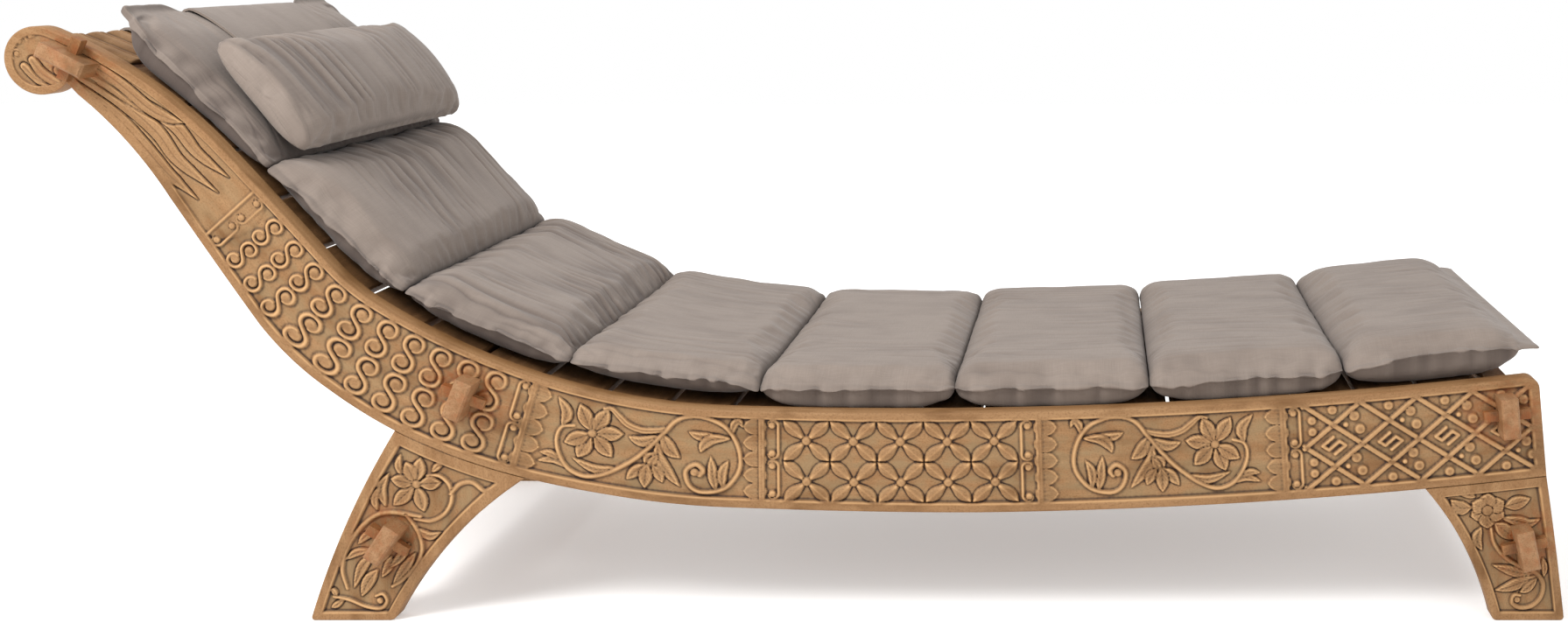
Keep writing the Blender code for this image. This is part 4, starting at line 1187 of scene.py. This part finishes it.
def pad_shell(i, top):
    """Closed body of one pad: rings across the bed, each top sheet, lip, underside and lip."""
    s0, s1 = pad_ends(i)
    under_v = v[::-1]
    rings, marks = [], []
    stations = [(value, row, 0.0) for row, value in enumerate(u)]
    if i == 0:
        stations = [(0.0, 0, -k / 3) for k in (3, 2, 1)] + stations
    if i == PADS - 1:
        stations = stations + [(1.0, ALONG_STEPS - 1, k / 3) for k in (1, 2, 3)]
    for share_along, row, out in stations:
        s = s0 + (s1 - s0) * share_along
        half = float(half_wide(share_along))
        level = float(rim(s)) + ARCHES[i] * float(swell(share_along, 2, 1))
        y_under = (2 * under_v - 1) * half
        if out:
            y_top = (2 * v - 1) * half
            free = head_lip(np.concatenate([y_top, y_under]))
            reach = HEAD_LIP * free if out < 0 else FOOT_LIP - 0.0005
            lift = (HEAD_LIP_LIFT * free if out < 0 else -FOOT_LIP_DROP) * out * out
            s_all = s + out * (reach + 0.002) * np.ones(len(y_top) + len(y_under))
            d_all = level + lift + np.where(np.arange(len(s_all)) < len(y_top), LIP_HALF, -LIP_HALF)
            xt, zt = at(s_all[:len(y_top)], d_all[:len(y_top)])
            xu, zu = at(s_all[len(y_top):], d_all[len(y_top):])
            lip_s, lip_d = float(s_all[0]), float(d_all[0]) - LIP_HALF
        else:
            xt, y_top, zt = top[row].T
            xu, zu = at(np.full(ACROSS_STEPS, s), pad_under(i, share_along, under_v, s))
            lip_s, lip_d = s, level
        lips = []
        for sign in (-1, 1):
            droop = 0.002 + 0.008 * (lip_noise(lip_s / 0.035, sign) - 0.3)
            droop += 0.005 * (lip_noise(lip_s / 0.013, sign) - 0.5)
            for reach, rise in ((0.35, 1), (0.8, 0.9), (1, 0), (0.8, -1), (0.35, -1)):
                x, z = at(lip_s, lip_d + rise * LIP_HALF - droop * reach)
                lips.append((x, sign * (half + reach * LIPS[i]), z))
        rings.append(np.concatenate([np.stack([xt, y_top, zt], 1), lips[:5], np.stack([xu, y_under, zu], 1),
                                     lips[5:][::-1]]))
        s_top = np.full(len(y_top), s + out * 0.02)
        # Each mark holds the weave's place and, as its third value, painted shade: none on the top sheet,
        # most underneath, a little on the lips
        under, lip_shade = np.ones(ACROSS_STEPS), 0.3 * UNDER_SHADE[i]
        top_mark = np.stack([s_top, y_top, 0 * under], 1)
        under_mark = np.stack([s * under, y_under, UNDER_SHADE[i] * under], 1)
        marks.append(np.concatenate([top_mark, [(s, -half, lip_shade)] * 5,
                                     under_mark, [(s, half, lip_shade)] * 5]))
    return np.array(rings), np.array(marks)


def pad_faces(count, first):
    """Faces of a pad's rings, with its ends closed by strips from the top sheet to the underside."""
    ring, last = 2 * ACROSS_STEPS + 10, 2 * ACROSS_STEPS + 4
    quads = lofted(count, ring)[:-2]
    end = [[k + 1, k, last - k, last - k - 1] for k in range(ACROSS_STEPS - 1)]
    near_lip = range(last - ACROSS_STEPS + 1, ACROSS_STEPS - 2, -1)
    far_lip = range(ring - 1, last - 1, -1)
    end += [list(near_lip), [0] + list(far_lip)]
    far = (count - 1) * ring
    return [[first + k for k in f] for f in quads + end] + [[first + far + k for k in f[::-1]] for f in end]


points, faces, marks = [], [], []
tops = blown.reshape(PADS, ALONG_STEPS, ACROSS_STEPS, 3)
first = 0
for i in range(PADS):
    rings, mark = pad_shell(i, tops[i])
    faces += pad_faces(len(rings), first)
    first += rings.shape[0] * rings.shape[1]
    points.append(rings.reshape(-1, 3))
    marks.append(mark.reshape(-1, 3))
cushion = new_object("quilted_cushion", np.concatenate(points), faces, COVER)
marks = np.concatenate(marks)
give(cushion.data, "weave", marks)
print("cushion", len(marks), "points before smoothing")

# %% Wrinkles
def folds(along, across, seed, wide, long, slant):
    """Sharp creases wide apart by wide, running along; 0 on the flat, 1 on a crease."""
    bent = across + slant * along + 0.03 * (noise(along / 0.11, across / 0.16, seed + 5) - 0.5)
    line = 1 - np.abs(2 * noise(bent / wide, along / long, seed) - 1)
    where = np.clip(2.4 * noise(along / 0.13, across / 0.10, seed + 9) - 0.7, 0, 1)
    return line ** 3 * where


def smoothed(obj):
    """Subdivide once, keep the result as the object's own mesh and read its marks, places and normals."""
    obj.modifiers.new("round", 'SUBSURF').levels = 1
    done = bpy.data.meshes.new_from_object(obj.evaluated_get(bpy.context.evaluated_depsgraph_get()))
    obj.modifiers.clear()
    obj.data = done
    return done, read(done, "weave"), read(done, "co"), read(done, "normal")


def wrinkle(mesh, co, normal, shift, crease):
    """Move the points in or out by shift, and store as crease the painted shade that darkens the cloth at
    each point.
    """
    mesh.vertices.foreach_set('co', (co + normal * shift[:, None]).ravel())
    give(mesh, "crease", crease)
    mesh.shade_smooth()


mesh, spot, co, normal = smoothed(cushion)
s, y = spot[:, 0], spot[:, 1]
to_seam = np.abs(s[:, None] - SEAMS[None, 1:PADS]).min(1)
on_top = np.clip(normal[:, 2] * 2, 0, 1)
pucker_deep = np.where(s < 0.95, 0.004, 0.0008)
puckers = np.exp(-to_seam / 0.022) * (noise(y / 0.011, np.floor(s * 4), 31) - 0.5) * pucker_deep
fine = folds(s, y, 3, 0.018, 0.22, 0.10) * 0.0026 + folds(s, y, 17, 0.012, 0.12, -0.06) * 0.0016
fine *= np.where((s > SEAMS[1]) & (s < SEAMS[3]), 1.5, 0.5)
by_lip = np.exp(-(HALF_WIDE - np.abs(y)) / 0.018)
crumple = by_lip * (noise(s / 0.013, y / 0.02, 71) - 0.5) * (0.003 + 0.003 * (spot[:, 2] > 0))
shift = (puckers - fine) * on_top + crumple
shift = np.where(s < SEAMS[1], np.minimum(shift, 0), shift)
# Painted shade on the head pad's steep sides, darker the further they turn from facing up
side_shade = np.clip(1.3 - 1.5 * normal[:, 2], 0, 0.65) * (s < SEAMS[1]) * (spot[:, 2] == 0)
# Painted shade: dark in the wrinkles' hollows, along the seams, under the pads and on the head pad's sides
shade = np.clip(-shift / 0.006, 0, 0.6) + 0.5 * np.exp(-to_seam / 0.006) + spot[:, 2] + side_shade
wrinkle(mesh, co, normal, shift, np.clip(shade, 0, 0.9))
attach(cushion, "cushion")
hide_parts(*[f"cushion_pad_{k}" for k in range(1, 9)])
print("cushion", len(mesh.vertices), "points")

# %% [markdown]
# ## The pillow
# The pillow is a bolster: one panel wrapped round the stuffing and an oval panel sewn into each end. It
# rests on the head pad and a flap from it lies over the pad's end and the crest rail, so that it can't
# slide down. It is lofted as rings along the bed's width and blown up like the pads.

# %% Pillow
PILLOW_FROM, PILLOW_TO, PILLOW_HALF, PILLOW_THICK = 0.157, 0.337, 0.320, 0.068
END_PANEL, WAY_ROUND = 0.014, 0.40
ROUND_STEPS, LENGTH_STEPS = 64, 74
turn = np.linspace(0, 2 * pi, ROUND_STEPS, endpoint=False)
half_deep, half_thick = (PILLOW_TO - PILLOW_FROM) / 2, PILLOW_THICK / 2
oval_s = np.sign(np.cos(turn)) * np.abs(np.cos(turn)) ** 0.72
oval_d = np.sign(np.sin(turn)) * np.abs(np.sin(turn)) ** 0.80
panel = np.linspace(-1, 1, LENGTH_STEPS) * (PILLOW_HALF - END_PANEL)
ends = [(PILLOW_HALF - END_PANEL * (1 - np.sqrt(1 - k * k)), k) for k in (0.12, 0.35, 0.6, 0.8, 0.92)]
rows = [(-yy, k * 0.97) for yy, k in ends]
rows += [(yy, 1 - 0.035 * (abs(yy) / PILLOW_HALF) ** 8) for yy in panel]
rows += [(yy, k * 0.97) for yy, k in ends[::-1]]
rings, marks = [], []
for yy, size in rows:
    s = (PILLOW_FROM + PILLOW_TO) / 2 + half_deep * 0.96 * size * oval_s
    thick = half_thick * (0.88 - 0.20 * (abs(yy) / PILLOW_HALF) ** 3)
    d = thick + thick * size * oval_d
    x, z = at(s, head_crown(s) + np.maximum(d, 0.0006) + 0.0006)
    rings.append(np.stack([x, np.full(ROUND_STEPS, yy), z], 1))
    on_end = abs(yy) > panel[-1] + 1e-6
    flat = (s, d) if on_end else (turn / (2 * pi) * WAY_ROUND, yy + 0 * d)
    marks.append(np.stack([*flat, 0 * d], 1))
points, marks = np.concatenate(rings), np.concatenate(marks)
faces = [f[::-1] for f in lofted(len(rows), ROUND_STEPS)]
bottom = np.tile(np.sin(turn) < -0.3, len(rows))
blown = stuffed(points, faces, bottom, pressure=5.0, spare=0.03, cap=0.008)
pillow = new_object("head_pillow_stuffed", blown, faces, COVER)
give(pillow.data, "weave", marks)
mesh, spot, co, normal = smoothed(pillow)
to_seam = np.abs(np.abs(co[:, 1]) - panel[-1])
up = np.clip(1.5 * normal[:, 2] + 0.4, 0, 1) * (np.abs(co[:, 1]) < panel[-1])
shift = -folds(spot[:, 0], co[:, 1], 43, 0.016, 0.30, 0.35) * 0.0042
shift -= folds(spot[:, 0], co[:, 1], 47, 0.011, 0.12, 0.25) * 0.0024
shift = shift * up * np.clip(to_seam / 0.01, 0, 1) - 0.0018 * np.exp(-(to_seam / 0.003) ** 2)
shift += np.exp(-to_seam / 0.016) * (noise(spot[:, 0] / 0.010, spot[:, 0] * 0, 53) - 0.5) * 0.004 * up
# Painted shade darkens the pillow's folds by their depth
wrinkle(mesh, co, normal, shift, np.clip(-shift / 0.006, 0, 0.7))
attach(pillow, "pillow")
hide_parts("head_pillow")
print("pillow", len(mesh.vertices), "points")

# %% [markdown]
# ## The pillow's flap
# A plain strip of the same cloth, sewn under the pillow, laid over the head pad's end and the crest rail,
# and left to hang behind. It could be dropped on by a simulation, but where it turns is known, so it is
# drawn along that path and only its edges and its hanging end are given a little waver.

# %% Flap
FLAP_THICK, FLAP_HANG, FLAP_UNDER, FLAP_EASE = 0.003, 0.070, 0.026, 0.004
FLAP_STEPS, FLAP_COLUMNS = 56, 48


def on_crest(along, above=0.0):
    """Point over the crest rail's upper face."""
    up = RAIL_THICK / 2 + FIT + above
    return (crest_x + along * cos(crest_turn) - up * sin(crest_turn),
            crest_z + along * sin(crest_turn) + up * cos(crest_turn))


def on_pad(s):
    """Point on the head pad."""
    low, share_along = head_crown(s) - 0.009, (s - SEAMS[0]) / (SEAMS[1] - SEAMS[0])
    return at(s, low + (head_crown(s) - low) * swell(share_along, 2.4, 0.6) + 2 * FIT)


back = -CREST_WIDE / 2
path = [on_pad(s) for s in np.linspace(PILLOW_FROM + FLAP_UNDER, SEAMS[0] + 0.004, 7)]
path += [at(SEAMS[0] - 0.004, 0.059), at(SEAMS[0] - 0.004, 0.049)]
path += [on_crest(0.012, 0.012), on_crest(0.0), on_crest(back)]
path += [on_crest(back - FLAP_EASE, -FLAP_EASE), on_crest(back - FLAP_EASE, -RAIL_THICK)]
path.append((path[-1][0], path[-1][1] - FLAP_HANG))
path = np.array([[float(a), float(b)] for a, b in path])
long = np.concatenate([[0], np.cumsum(np.hypot(*np.diff(path, axis=0).T))])
FLAP_LONG = float(long[-1])
steps = np.linspace(0, FLAP_LONG, FLAP_STEPS)
line = np.stack([np.interp(steps, long, path[:, k]) for k in (0, 1)], 1)
for k in range(2):
    line[1:-1] = (line[:-2] + 2 * line[1:-1] + line[2:]) / 4
way = np.gradient(line, axis=0)
way /= np.linalg.norm(way, axis=1)[:, None]
outer = np.stack([way[:, 1], -way[:, 0]], 1)
y_row = np.linspace(FLAP_HALF, -FLAP_HALF, FLAP_COLUMNS)
rings, marks = [], []
for k, run in enumerate(steps):
    free = np.clip((run - FLAP_LONG + FLAP_HANG + 0.02) / FLAP_HANG, 0, 1)
    wave = 0.002 * np.sin(y_row / 0.025) * free
    wave += 0.0006 * (noise(y_row / 0.02, run / 0.03 + 0 * y_row, 61) - 0.2)
    top = line[k] + outer[k] * (FLAP_THICK + wave[:, None])
    low = line[k] + outer[k] * (np.maximum(wave[:, None], 0) * free)
    ring = np.concatenate([np.stack([top[:, 0], y_row, top[:, 1]], 1),
                           np.stack([low[:, 0], y_row, low[:, 1]], 1)[::-1]])
    rings.append(ring)
    marks.append(np.stack([np.full(len(ring), run), ring[:, 1], np.zeros(len(ring))], 1))
faces = [f[::-1] for f in lofted(len(rings), 2 * FLAP_COLUMNS)]
flap = new_object("pillow_flap_cloth", np.concatenate(rings), faces, COVER, 60)
marks = np.concatenate(marks)
give(flap.data, "weave", marks)
hem = np.minimum(FLAP_HALF - np.abs(marks[:, 1]), FLAP_LONG - marks[:, 0])
give(flap.data, "crease", 0.7 * np.exp(-((hem - 0.010) / 0.0022) ** 2))
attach(flap, "pillow")
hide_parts("pillow_flap")
print("flap", round(FLAP_LONG, 3), "m long")
